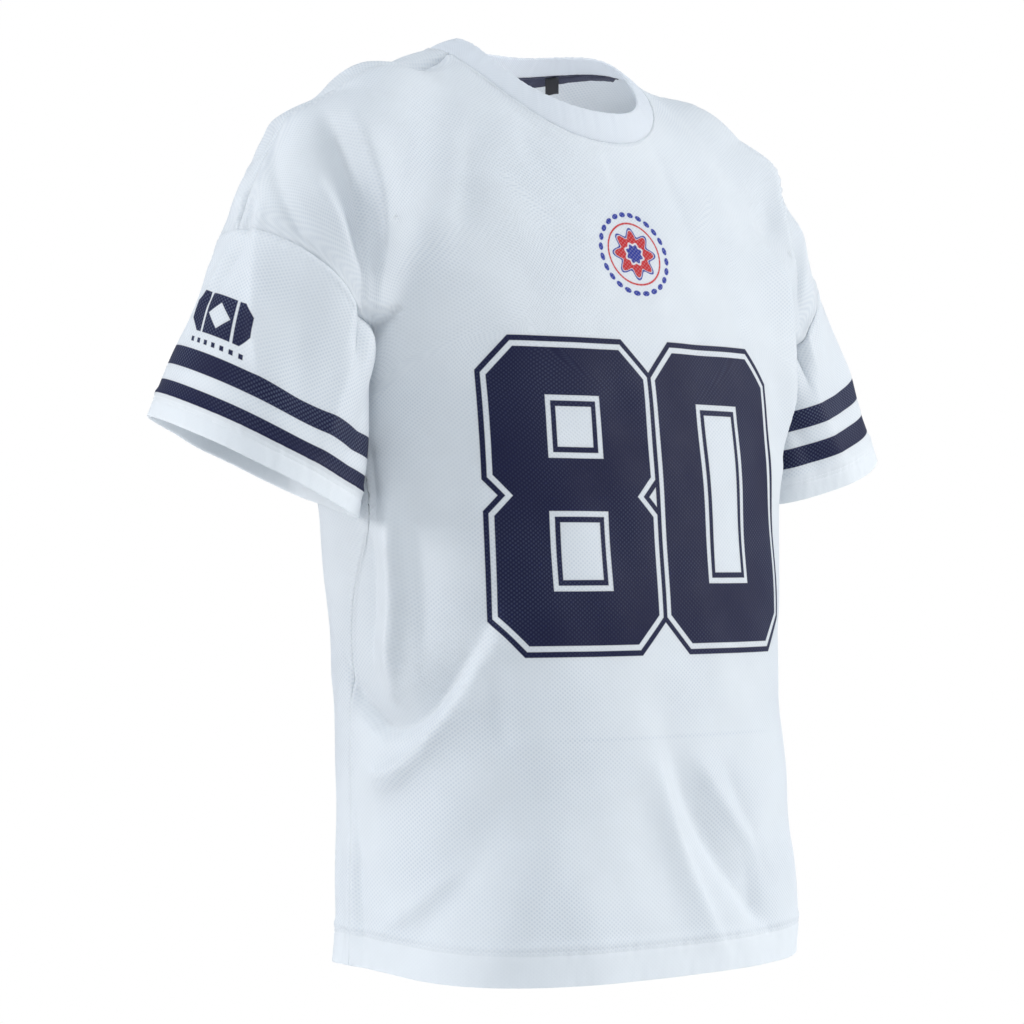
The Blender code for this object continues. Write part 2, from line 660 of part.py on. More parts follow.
def label_tab(finish, back):
    """A blank loop of ribbon that hangs straight down from the neck tape."""
    edge = back[0][-1, SHOULDER_CELLS:SHOULDER_CELLS + BACK_NECK_CELLS + 1]
    sides = np.linspace(TAB_PLACE - TAB_WIDTH / 2, TAB_PLACE + TAB_WIDTH / 2, 3)
    columns = np.interp(sides, edge[:, 0], np.arange(len(edge))) + SHOULDER_CELLS
    inside = WALL / 2 + TAPE_GAP + SEAM_GAP + TAPE_WALL * 1.5
    top = strip_of(back, columns, [TAB_TOP], inside)[0][0]
    width_way = unit(top[-1] - top[0])
    down = np.array([0.0, 0.0, -1.0])
    grid = np.stack([top + down * drop for drop in np.linspace(0.0, TAB_DROP, 4)])
    normals = np.broadcast_to(unit(np.cross(width_way, down)), grid.shape)
    add_wall("label_tab", finish, grid, normals, TAPE_WALL / 2, TAPE_WALL / 2)


def main():
    for item in list(bpy.data.objects):
        bpy.data.objects.remove(item)
    front_armhole = armhole(-ARMHOLE_FRONT_REACH)
    back_armhole = armhole(ARMHOLE_BACK_REACH)
    seam = side_seam()
    front_armhole[0] = back_armhole[0] = seam[-1]
    back_armhole[-1] = front_armhole[-1]
    shoulder = shoulder_seam(front_armhole[-1])
    white = (0.84, 0.86, 0.90)
    body_panel("front_panel", material("front_knit", white, 0.62), -1, front_armhole, seam, shoulder)
    back = body_panel("back_panel", material("back_knit", white, 0.62), 1, back_armhole, seam, shoulder)
    for side in CUFFS:
        sleeve(side, material("sleeve_knit_" + side, white, 0.62), front_armhole, back_armhole)
    collar(material("collar_rib", (0.86, 0.88, 0.92), 0.65))
    neck_tape(material("navy_tape", (0.012, 0.015, 0.055), 0.7), back)
    label_tab(material("black_tab", (0.006, 0.006, 0.008), 0.6), back)


main()
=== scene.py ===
# %% [markdown]
# # An oversized t-shirt in mesh knit
# A loose short-sleeved shirt, cut from four panels of a soft white mesh knit, with a knitted
# collar band, a printed number and striped cuffs. It is shown as it hangs on a wearer, with
# nobody in it. The cloth is built as points on one smooth form, pushed into folds by a short
# table, and given its knit, its prints and its stitches afterwards.

# %% Start
import math
import bpy
import numpy as np
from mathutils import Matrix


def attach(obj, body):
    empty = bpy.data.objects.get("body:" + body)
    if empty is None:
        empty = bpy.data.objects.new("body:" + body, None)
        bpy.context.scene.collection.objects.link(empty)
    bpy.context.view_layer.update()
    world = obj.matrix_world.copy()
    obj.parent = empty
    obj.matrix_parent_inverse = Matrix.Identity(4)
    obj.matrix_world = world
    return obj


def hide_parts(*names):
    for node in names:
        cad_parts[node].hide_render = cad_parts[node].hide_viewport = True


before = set(bpy.data.objects)
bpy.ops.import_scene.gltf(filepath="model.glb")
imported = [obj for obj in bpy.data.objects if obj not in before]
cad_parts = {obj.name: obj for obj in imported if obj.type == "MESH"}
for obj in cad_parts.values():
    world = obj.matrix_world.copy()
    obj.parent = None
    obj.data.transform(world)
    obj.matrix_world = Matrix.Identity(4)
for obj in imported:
    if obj.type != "MESH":
        bpy.data.objects.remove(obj)
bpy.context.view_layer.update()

# %% [markdown]
# ## Camera, light and floor
# A picture of a garment is taken level, from a little over two and a half metres, so that the
# hem and the shoulders keep their shape. Two large lamps stand left and right of the camera,
# the cloth between them falls softly into grey, and a third lamp lifts the shoulders.

# %% Camera
PICTURE = 1024                       # the picture is square
CAMERA_TURN = math.radians(-42)      # towards the wearer's right
CAMERA_AWAY = 2.7
CAMERA_HEIGHT = -0.44
SENSOR = 36.0
FOCAL_PIXELS = 3033.7
MIDDLE_ACROSS, MIDDLE_DOWN = 545, 562    # where the line of sight meets the picture

camera = bpy.data.objects.new("camera", bpy.data.cameras.new("camera"))
bpy.context.collection.objects.link(camera)
camera.location = (CAMERA_AWAY * math.sin(CAMERA_TURN), -CAMERA_AWAY * math.cos(CAMERA_TURN),
                   CAMERA_HEIGHT)
camera.rotation_euler = (math.pi / 2, 0, CAMERA_TURN)
camera.data.sensor_width = SENSOR
camera.data.lens = FOCAL_PIXELS / PICTURE * SENSOR
camera.data.shift_x = (PICTURE / 2 - MIDDLE_ACROSS) / PICTURE
camera.data.shift_y = (MIDDLE_DOWN - PICTURE / 2) / PICTURE
bpy.context.scene.camera = camera
print("camera", [round(c, 3) for c in camera.location], "lens", round(camera.data.lens, 1))

# %% Lamps and floor
FLOOR = -1.42                        # the wearer's shoulders stand this high


def lamp(name, place, aim, size, power, colour, spread=180):
    data = bpy.data.lights.new(name, "AREA")
    data.shape = "RECTANGLE"
    data.size, data.size_y = size
    data.energy = power
    data.color = colour
    data.spread = math.radians(spread)
    item = bpy.data.objects.new(name, data)
    item.location = place
    item.visible_camera = False
    away = np.array(aim) - np.array(place)
    flat = math.hypot(away[0], away[1])
    item.rotation_euler = (math.atan2(flat, -away[2]), 0, math.atan2(-away[0], away[1]))
    bpy.context.collection.objects.link(item)
    return item


lamp("lamp_front", (2.45, -1.9, 0.5), (0, 0, -0.4), (0.7, 1.2), 70, (1.0, 0.985, 0.965))
lamp("lamp_side", (-2.8, 1.15, 0.4), (0, 0, -0.4), (0.7, 1.2), 50, (1.0, 0.985, 0.985))
lamp("lamp_top", (-1.3, -1.4, 2.1), (0, 0, -0.3), (0.9, 0.9), 35, (0.96, 0.98, 1.0))
lamp("lamp_neck", (-0.03, -0.05, -0.24), (0.03, 0.09, 0), (0.08, 0.08), 0.09, (1.0, 0.97, 0.96), 70)

sky = bpy.data.worlds.new("pale_room")
sky.use_nodes = True
room = sky.node_tree
room.nodes["Background"].inputs["Color"].default_value = (0.87, 0.935, 1.0, 1)
room.nodes["Background"].inputs["Strength"].default_value = 0.58
seen = room.nodes.new("ShaderNodeBackground")
seen.inputs["Color"].default_value = (1.0, 1.0, 1.0, 1)
seen.inputs["Strength"].default_value = 1.0
ray = room.nodes.new("ShaderNodeLightPath")
choice = room.nodes.new("ShaderNodeMixShader")
room.links.new(ray.outputs["Is Camera Ray"], choice.inputs[0])
room.links.new(room.nodes["Background"].outputs[0], choice.inputs[1])
room.links.new(seen.outputs[0], choice.inputs[2])
room.links.new(choice.outputs[0], room.nodes["World Output"].inputs["Surface"])
bpy.context.scene.world = sky
bpy.context.scene.view_settings.view_transform = "Standard"


def plain_material(name, colour, roughness):
    finish = bpy.data.materials.new(name)
    finish.use_nodes = True
    shader = finish.node_tree.nodes["Principled BSDF"]
    shader.inputs["Base Color"].default_value = (*colour, 1)
    shader.inputs["Roughness"].default_value = roughness
    return finish


FLOOR_REACH = 90
floor_mesh = bpy.data.meshes.new("floor")
floor_mesh.from_pydata([(x * FLOOR_REACH, y * FLOOR_REACH, FLOOR)
                        for x, y in ((-1, -1), (1, -1), (1, 1), (-1, 1))], [], [(0, 1, 2, 3)])
floor = bpy.data.objects.new("floor", floor_mesh)
paper = plain_material("lit_floor", (0.80, 0.81, 0.82), 1.0)
paper.node_tree.nodes["Principled BSDF"].inputs["Emission Color"].default_value = (1, 0.99, 0.98, 1)
paper.node_tree.nodes["Principled BSDF"].inputs["Emission Strength"].default_value = 0.25
bright = paper.node_tree.nodes.new("ShaderNodeEmission")
floor_ray = paper.node_tree.nodes.new("ShaderNodeLightPath")
floor_choice = paper.node_tree.nodes.new("ShaderNodeMixShader")
paper.node_tree.links.new(floor_ray.outputs["Is Camera Ray"], floor_choice.inputs[0])
paper.node_tree.links.new(paper.node_tree.nodes["Principled BSDF"].outputs[0], floor_choice.inputs[1])
paper.node_tree.links.new(bright.outputs[0], floor_choice.inputs[2])
paper.node_tree.links.new(floor_choice.outputs[0],
                          paper.node_tree.nodes["Material Output"].inputs["Surface"])
floor_mesh.materials.append(paper)
bpy.context.collection.objects.link(floor)

# %% [markdown]
# ## The form that the cloth follows
# A worn shirt is two kinds of tube, one round the body and one round each arm, that melt into
# each other under the shoulder. Each tube is a table of sections with a smooth curve through
# them, and the melting is a smooth minimum, so seams, panels and folds can all be laid on one
# surface. It is the same form, with the same sizes, as the solid model's.

# %% Sizes of the form
BODY_LENGTH = 0.790
HEM_SIDE_RISE = 0.010
HEM_DEPTH = 0.027
NECK_HALF_WIDTH = 0.105
NECK_MIDDLE_Y = 0.007
NECK_FRONT_REACH = 0.090
NECK_BACK_REACH = 0.085
NECK_SQUARENESS = 2.18
UNDERARM = (0.241, 0.004, -0.300)
ARMHOLE_TOP = (0.322, 0.012, -0.171)
ARMHOLE_FRONT_REACH = 0.066
ARMHOLE_BACK_REACH = 0.092
ARMHOLE_SCOOP = 0.020
SEAM_SWING = 0.045           # the side seam swings this far forward below the arm
SEAM_SWING_HEIGHT = -0.385
SEAM_SWING_REACH = 0.075
CUFF_HEM_DEPTH = 0.023
WALL = 0.0012
COLLAR_WIDTH = 0.0275
COLLAR_WALL = 0.0022
SEAM_GAP = 0.00006
LAP_GAP = 0.0010
CLEARANCE = 0.0050

# height, half width, front depth, back depth, how square the front corners are
TORSO_SECTIONS = np.array([
    (-0.80, 0.220, 0.182, 0.124, 2.8),
    (-0.70, 0.218, 0.176, 0.121, 2.8),
    (-0.58, 0.217, 0.168, 0.121, 2.7),
    (-0.48, 0.223, 0.160, 0.130, 2.6),
    (-0.38, 0.237, 0.152, 0.137, 2.4),
    (-0.28, 0.241, 0.142, 0.138, 2.3),
    (-0.16, 0.238, 0.126, 0.133, 2.2),
    (-0.05, 0.232, 0.112, 0.122, 2.1),
    (0.06, 0.230, 0.104, 0.112, 2.1),
])
BACK_SQUARENESS = 2.0
ROOF_TOP = 0.0298
ROOF_SLOPE = 0.490
ROOF_RIDGE_Y = 0.039
ROOF_ROUND = 0.103
ROOF_CURVE_FRONT = 7.0
ROOF_CURVE_BACK = 7.5
ROOF_BLEND = 0.05
ARM_TOP = np.array([0.207, 0.012, -0.108])
ARM_TILT = math.radians(23.5)
ARM_CAP = 0.10
ARM_AXIS = np.array([math.sin(ARM_TILT), 0.0, -math.cos(ARM_TILT)])
ARM_OUT = np.array([math.cos(ARM_TILT), 0.0, math.sin(ARM_TILT)])
# along the arm line, outer, under, front and back half sizes
SLEEVE_SECTIONS = np.array([
    (-0.05, 0.057, 0.050, 0.058, 0.066),
    (0.00, 0.085, 0.052, 0.068, 0.076),
    (0.05, 0.089, 0.056, 0.075, 0.084),
    (0.12, 0.086, 0.070, 0.077, 0.088),
    (0.20, 0.089, 0.090, 0.082, 0.090),
    (0.28, 0.090, 0.104, 0.088, 0.090),
    (0.36, 0.090, 0.112, 0.088, 0.090),
])
SLEEVE_ROUNDNESS = 2.1
# length down the arm line, how much longer the cuff is on its outer side and its back
CUFFS = {"right": (0.2757, 0.02, -0.243), "left": (0.272, 0.09, -0.10)}
JOIN_BLEND_TOP = 0.020
JOIN_BLEND_LOW = 0.018
JOIN_LOW_END = -0.228
ARMPIT_ROUND = 0.014


# %% Curves through the tables
def spline(rows, column):
    """A smooth curve through one column of a section table, against its first column."""
    x = rows[:, 0]
    y = rows[:, column]
    count = len(x)
    step = np.diff(x)
    system = np.eye(count)
    right = np.zeros(count)
    for i in range(1, count - 1):
        system[i, i - 1:i + 2] = step[i - 1], 2 * (step[i - 1] + step[i]), step[i]
        right[i] = 3 * ((y[i + 1] - y[i]) / step[i] - (y[i] - y[i - 1]) / step[i - 1])
    c = np.linalg.solve(system, right)
    b = np.diff(y) / step - step * (2 * c[:-1] + c[1:]) / 3
    d = np.diff(c) / (3 * step)

    def value(at):
        at = np.clip(at, x[0], x[-1])
        i = np.clip(np.searchsorted(x, at, side="right") - 1, 0, count - 2)
        t = at - x[i]
        return y[i] + b[i] * t + c[i] * t ** 2 + d[i] * t ** 3

    return value


half_width, front_depth, back_depth, front_squareness = (
    spline(TORSO_SECTIONS, column) for column in range(1, 5))
arm_outer, arm_under, arm_front, arm_back = (
    spline(SLEEVE_SECTIONS, column) for column in range(1, 5))


def ease(low, high, x):
    t = np.clip((x - low) / (high - low), 0, 1)
    return t * t * (3 - 2 * t)


def smooth_min(a, b, blend):
    h = np.clip(0.5 + 0.5 * (b - a) / blend, 0, 1)
    return b * (1 - h) + a * h - blend * h * (1 - h)


# %% Body and arm forms
def torso_form(p):
    """Below zero inside the body tube and under the shoulder roof, near enough in metres."""
    x, y, z = p.T
    width = half_width(z)
    depth = np.where(y < 0, front_depth(z), back_depth(z))
    power = np.where(y < 0, front_squareness(z), BACK_SQUARENESS)
    ring = ((np.abs(x) / width) ** power + (np.abs(y) / depth) ** power) ** (1 / power)
    side = (ring - 1) * 0.42 * (width + depth)
    across = np.sqrt(x * x + ROOF_ROUND ** 2) - ROOF_ROUND
    forward = y - ROOF_RIDGE_Y
    curve = np.where(forward < 0, ROOF_CURVE_FRONT, ROOF_CURVE_BACK)
    roof = z - ROOF_TOP + ROOF_SLOPE * across + curve * forward ** 2
    roof = roof / np.sqrt(1 + ROOF_SLOPE ** 2 + (2 * curve * forward) ** 2)
    return -smooth_min(-side, -roof, ROOF_BLEND)


def arm_place(p):
    """Distance down the arm line, outwards from it, and behind it. Both arms alike."""
    q = np.stack([np.abs(p[:, 0]), p[:, 1], p[:, 2]], 1) - ARM_TOP
    return q @ ARM_AXIS, q @ ARM_OUT, q[:, 1]


def arm_form(p):
    along, out, back = arm_place(p)
    tall = np.where(out > 0, arm_outer(along), arm_under(along))
    deep = np.where(back < 0, arm_front(along), arm_back(along))
    cap = np.minimum(along, 0) / ARM_CAP
    n = SLEEVE_ROUNDNESS
    ring = (np.abs(out / tall) ** n + np.abs(back / deep) ** n + np.abs(cap) ** n) ** (1 / n)
    return (ring - 1) * 0.48 * (tall + deep)


def body_form(p):
    """The body tube joined with the arms, which fade away below the front of the armhole."""
    z = p[:, 2]
    away = 0.10 * ease(0.0, 0.05, JOIN_LOW_END - z)
    blend = JOIN_BLEND_LOW + (JOIN_BLEND_TOP - JOIN_BLEND_LOW) * ease(-0.24, -0.10, z)
    return smooth_min(torso_form(p), arm_form(p) + away, blend)


def sleeve_form(p):
    """The arm tube, kept clear of the side of the body."""
    return -smooth_min(-arm_form(p), torso_form(p) - CLEARANCE - WALL, ARMPIT_ROUND)


# %% Laying points on a form
def gradient(form, p, step=2e-4):
    g = np.empty_like(p)
    for axis in range(3):
        d = np.zeros(3)
        d[axis] = step
        g[:, axis] = (form(p + d) - form(p - d)) / (2 * step)
    return g


def settle(form, p, rounds):
    """Moves points along the slope of a form until they lie on its surface."""
    p = np.array(p, float)
    for _ in range(rounds):
        g = gradient(form, p)
        size = np.sqrt((g * g).sum(1)) + 1e-9
        p -= g * (np.clip(form(p) / size, -0.02, 0.02) / size)[:, None]
    return p


def settle_grid(form, grid, rounds):
    return settle(form, grid.reshape(-1, 3), rounds).reshape(grid.shape)


def unit(v):
    return v / (np.sqrt((v * v).sum(-1, keepdims=True)) + 1e-12)


def outwards(form, grid):
    return unit(gradient(form, grid.reshape(-1, 3))).reshape(grid.shape)


def mirrored(points):
    return points * np.array([-1.0, 1.0, 1.0])


def lengths(points):
    """Distance along a row of points, from its first point."""
    steps = np.linalg.norm(np.diff(points, axis=0), axis=-1)
    return np.concatenate([np.zeros((1,) + steps.shape[1:]), np.cumsum(steps, axis=0)])


def at_lengths(points, places):
    along = lengths(points)
    return np.stack([np.interp(places, along, points[:, axis]) for axis in range(3)], 1)


def even(points, cells):
    return at_lengths(points, np.linspace(0.0, lengths(points)[-1], cells + 1))


# %% [markdown]
# ## Seam curves
# A pattern cutter draws the seams first and the panels follow. The neckline is a squarish oval
# dropped on the form, the armhole is cut low and wide because the shoulder is dropped, and the
# side seam, the shoulder seam and the hem close the panels.

# %% Seams
SHOULDER_CELLS = 20
NECK_CELLS = 32
SIDE_CELLS = 32
ARMHOLE_CELLS = 28
SLEEVE_CELLS = 12


def signed_power(value, power):
    return np.sign(value) * np.abs(value) ** power


def dropped(form, x, y):
    """Places in plan dropped straight down on a form, found by halving."""
    low = np.full(len(x), -0.26)
    high = np.full(len(x), 0.10)
    for _ in range(40):
        middle = (low + high) / 2
        inside = form(np.stack([x, y, middle], 1)) < 0
        low = np.where(inside, middle, low)
        high = np.where(inside, high, middle)
    return np.stack([x, y, low], 1)


def neckline(turn):
    """Turn 0 is the centre front and a quarter turn the wearer's left."""
    power = 2 / NECK_SQUARENESS
    reach = np.where(np.cos(turn) > 0, NECK_FRONT_REACH, NECK_BACK_REACH)
    x = NECK_HALF_WIDTH * signed_power(np.sin(turn), power)
    y = NECK_MIDDLE_Y - reach * signed_power(np.cos(turn), power)
    return dropped(torso_form, x, y)


def armhole(reach):
    """Half the armhole seam, from the underarm to its top; reach is below zero for the front."""
    turn = np.linspace(0.0, math.pi, 90)
    lift = ((1 - np.cos(turn)) / 2)[:, None]
    points = np.array(UNDERARM) * (1 - lift) + np.array(ARMHOLE_TOP) * lift
    points[:, 0] -= ARMHOLE_SCOOP * np.sin(turn)
    points[:, 1] += reach * np.sin(turn)
    points = settle(body_form, points, 14)
    for _ in range(4):
        points[1:-1] = settle(body_form, (points[:-2] + points[2:]) / 2, 3)
    return even(points, ARMHOLE_CELLS)


def hem_height(y):
    return -BODY_LENGTH + HEM_SIDE_RISE * np.exp(-(y / 0.10) ** 2)


def hem(side):
    """From the wearer's right to the left; side is -1 for the front, 1 for the back."""
    turn = np.linspace(-math.pi / 2, math.pi / 2, 400)
    squareness = BACK_SQUARENESS if side > 0 else front_squareness(-BODY_LENGTH)
    depth = back_depth(-BODY_LENGTH) if side > 0 else front_depth(-BODY_LENGTH)
    x = half_width(-BODY_LENGTH) * signed_power(np.sin(turn), 2 / squareness)
    y = side * depth * np.abs(np.cos(turn)) ** (2 / squareness)
    return even(np.stack([x, y, hem_height(y)], 1), 2 * SHOULDER_CELLS + NECK_CELLS)


def side_seam():
    heights = np.linspace(hem_height(0), UNDERARM[2], SIDE_CELLS + 1)
    swing = np.exp(-((heights - SEAM_SWING_HEIGHT) / SEAM_SWING_REACH) ** 2)
    forward = UNDERARM[1] - SEAM_SWING * swing * ease(0.0, 0.06, UNDERARM[2] - heights)
    return settle(body_form, np.stack([half_width(heights), forward, heights], 1), 14)


def shoulder_seam(top):
    """From the armhole's top to the neck."""
    neck_end = neckline(np.array([math.pi / 2]))[0]
    share = np.linspace(0, 1, 90)
    x = top[0] * (1 - share) + neck_end[0] * share
    y = top[1] + (neck_end[1] - top[1]) * ease(0.0, 1.0, share)
    points = dropped(body_form, x, y)
    points[0] = top
    points[-1] = neck_end
    return even(points, SHOULDER_CELLS)


front_armhole = armhole(-ARMHOLE_FRONT_REACH)
back_armhole = armhole(ARMHOLE_BACK_REACH)
side_line = side_seam()
front_armhole[0] = back_armhole[0] = side_line[-1]
back_armhole[-1] = front_armhole[-1]
shoulder_line = shoulder_seam(front_armhole[-1])
print("armhole", round(lengths(front_armhole)[-1] + lengths(back_armhole)[-1], 3),
      "shoulder", round(lengths(shoulder_line)[-1], 3))


# %% [markdown]
# ## Grids of points
# Each panel starts as a patch between its four seams, is relaxed on the form like a net until
# its cells are even, and is then sampled again with close rows near every seam and hem. The
# close rows are what lets a seam sink and a hem turn on a scale of a millimetre.

# %% Patches, relaxing and sampling
def patch(left, right, low, high):
    """A grid between four seams. Rows run from low to high, columns from left to right."""
    t = np.linspace(0, 1, len(left))[:, None, None]
    s = np.linspace(0, 1, len(low))[None, :, None]
    sides = (1 - s) * left[:, None] + s * right[:, None]
    ends = (1 - t) * low[None] + t * high[None]
    corners = ((1 - s) * (1 - t) * low[0] + s * (1 - t) * low[-1]
               + (1 - s) * t * high[0] + s * t * high[-1])
    return sides + ends - corners


def lay(form, grid, closed, rounds):
    """Spreads a grid evenly over a form, with its edges held."""
    grid = grid.copy()
    for _ in range(rounds):
        if closed:
            before = np.roll(grid, 1, axis=1)[1:-1]
            after = np.roll(grid, -1, axis=1)[1:-1]
            grid[1:-1] = settle_grid(form, (grid[:-2] + grid[2:] + before + after) / 4, 1)
        else:
            middle = (grid[:-2, 1:-1] + grid[2:, 1:-1] + grid[1:-1, :-2] + grid[1:-1, 2:]) / 4
            grid[1:-1, 1:-1] = settle_grid(form, middle, 1)
    return grid


def between(grid, places, axis):
    """A smooth curve through a grid's points along one axis, read at fractional places."""
    grid = np.moveaxis(grid, axis, 0)
    last = len(grid) - 1
    first = np.clip(np.floor(places).astype(int), 0, last - 1)
    t = (places - first)[:, None, None]
    before = grid[np.clip(first - 1, 0, last)]
    a, b = grid[first], grid[first + 1]
    after = grid[np.clip(first + 2, 0, last)]
    before = np.where((first == 0)[:, None, None], 2 * a - b, before)
    after = np.where((first == last - 1)[:, None, None], 2 * b - a, after)
    out = a + 0.5 * t * (b - before + t * (2 * before - 5 * a + 4 * b - after
                                           + t * (3 * (a - b) + after - before)))
    return np.moveaxis(out, 0, axis)


def sampled(grid, low, high, step):
    """Samples the columns of a grid again: close at both ends, evenly in the middle."""
    along = lengths(grid)
    count = max(int(round(along[-1].mean() / step)), 2)
    out = np.empty((len(low) + count + len(high) - 1, grid.shape[1], 3))
    for column in range(grid.shape[1]):
        total = along[-1, column]
        middle = np.linspace(low[-1], total - high[-1], count + 1)[1:-1]
        places = np.concatenate([low, middle, total - np.array(high)[::-1]])
        out[:, column] = at_lengths(grid[:, column], places)
    return out


SEWN_EDGE = (0.0, 0.0006, 0.0013, 0.0021, 0.0032, 0.0050, 0.0075)
HEM_ROWS = (0.0, 0.0004, 0.0010, 0.0020, 0.0050, 0.0110, 0.0170, 0.0215, 0.0240, 0.0250,
            0.0258, 0.0270, 0.0282, 0.0292, 0.0306, 0.0322, 0.0340, 0.0362, 0.0390)
CUFF_ROWS = (0.0, 0.0004, 0.0010, 0.0020, 0.0050, 0.0090, 0.0120, 0.0133, 0.0141, 0.0149,
             0.0161, 0.0173, 0.0183, 0.0196, 0.0211, 0.0225, 0.0232, 0.0242, 0.0265)
HEM_STITCHES = (0.0254, 0.0286)
CUFF_STITCHES = (0.0145, 0.0177)
CLOTH_STEP = 0.0039
SLEEVE_STEP = 0.0022

# %% [markdown]
# ## Folds
# Soft knit makes two kinds of fold: long shallow ones that hang from the shoulder and bust, and
# short swags where the side slumps. A simulation would place them where it liked, so each one is
# listed as a bent line with a width on either side of it. The sharp ones are narrow on
# one side and wide on the other, which is how a crease catches the light.

# %% Tables of folds
# Body folds: turn in degrees about the body from the centre front, positive to the wearer's
# left, and height, at the start, where the line is pulled to, and at the end; width on the
# left of the line and on its right, going from start to end; depth, below zero for a trough.
BODY_FOLDS = np.array([
    (-68, -0.365, -67, -0.460, -75, -0.548, 0.009, 0.014, 0.0130),
    (-61, -0.370, -60, -0.440, -64, -0.530, 0.050, 0.010, -0.0060),
    (-74, -0.330, -73, -0.370, -73, -0.405, 0.006, 0.005, -0.0035),
    (-75, -0.400, -76, -0.450, -82, -0.530, 0.008, 0.010, -0.0048),
    (-96, -0.510, -75, -0.658, -45, -0.488, 0.036, 0.007, -0.0160),
    (-82, -0.575, -69, -0.609, -51, -0.518, 0.007, 0.004, -0.0024),
    (-86, -0.606, -70, -0.650, -45, -0.508, 0.008, 0.024, 0.0120),
    (-84, -0.625, -68, -0.660, -48, -0.530, 0.012, 0.032, -0.0050),
    (-47, -0.500, -48, -0.550, -42, -0.600, 0.026, 0.013, -0.0050),
    (-42, -0.620, -52, -0.700, -74, -0.775, 0.026, 0.034, -0.0065),
    (-82, -0.750, -68, -0.735, -54, -0.690, 0.012, 0.010, 0.0034),
    (-30, -0.640, -38, -0.730, -52, -0.790, 0.022, 0.030, 0.0045),
    (-8, -0.590, -5, -0.680, 12, -0.775, 0.007, 0.020, 0.0070),
    (-3, -0.585, 0, -0.675, 30, -0.765, 0.020, 0.008, -0.0070),
    (4, -0.595, 11, -0.650, 28, -0.700, 0.012, 0.012, 0.0048),
    (13, -0.600, 20, -0.660, 30, -0.720, 0.012, 0.010, -0.0036),
    (20, -0.690, 24, -0.730, 22, -0.755, 0.012, 0.012, -0.0040),
    (-88, -0.650, -88, -0.720, -85, -0.785, 0.010, 0.006, -0.0040),
    (56, -0.125, 60, -0.215, 50, -0.350, 0.022, 0.026, 0.0210),
    (66, -0.350, 60, -0.460, 50, -0.560, 0.024, 0.018, -0.0065),
    (74, -0.600, 72, -0.680, 74, -0.770, 0.050, 0.050, 0.0050),
    (78, -0.400, 80, -0.540, 76, -0.680, 0.016, 0.028, 0.0065),
    (92, -0.560, 70, -0.620, 48, -0.500, 0.026, 0.014, -0.0060),
    (52, -0.620, 58, -0.720, 72, -0.780, 0.028, 0.024, -0.0060),
    (38, -0.660, 44, -0.730, 50, -0.790, 0.020, 0.026, 0.0035),
    (112, -0.350, 124, -0.460, 138, -0.560, 0.018, 0.028, -0.0075),
    (104, -0.520, 128, -0.610, 152, -0.530, 0.022, 0.012, -0.0060),
    (-110, -0.360, -120, -0.460, -134, -0.550, 0.028, 0.016, -0.0070),
    (-104, -0.500, -128, -0.600, -152, -0.500, 0.014, 0.024, 0.0020),
    (172, -0.280, 164, -0.390, 148, -0.490, 0.030, 0.030, 0.0050),
    (-172, -0.260, -160, -0.350, -146, -0.420, 0.024, 0.034, -0.0046),
    (-166, -0.450, -154, -0.590, -138, -0.710, 0.020, 0.036, -0.0080),
    (162, -0.550, 150, -0.660, 130, -0.770, 0.034, 0.022, -0.0075),
    (180, -0.570, 181, -0.680, 187, -0.780, 0.024, 0.030, 0.0060),
    (-122, -0.600, -122, -0.700, -118, -0.785, 0.026, 0.028, -0.0080),
    (-100, 0.000, -97, -0.015, -93, -0.042, 0.045, 0.045, -0.0080),
    (-98, -0.660, -101, -0.730, -98, -0.785, 0.012, 0.018, -0.0045),
    (-50, -0.060, -45, -0.110, -47, -0.180, 0.020, 0.014, -0.0030),
    (-34, -0.060, -30, -0.100, -10, -0.150, 0.018, 0.022, -0.0028),
    (-34, -0.210, -44, -0.270, -50, -0.360, 0.028, 0.030, -0.0030),
    (20, -0.060, 21, -0.100, 20, -0.170, 0.012, 0.018, -0.0024),
    (70, -0.060, 66, -0.100, 55, -0.165, 0.010, 0.014, -0.0045),
    (60, -0.080, 50, -0.160, 49, -0.250, 0.018, 0.020, 0.0036),
    (42, -0.240, 50, -0.300, 52, -0.380, 0.024, 0.022, -0.0034),
    (168, -0.080, 176, -0.120, -170, -0.090, 0.020, 0.026, -0.0026),
])
METRES_PER_DEGREE = 0.0034

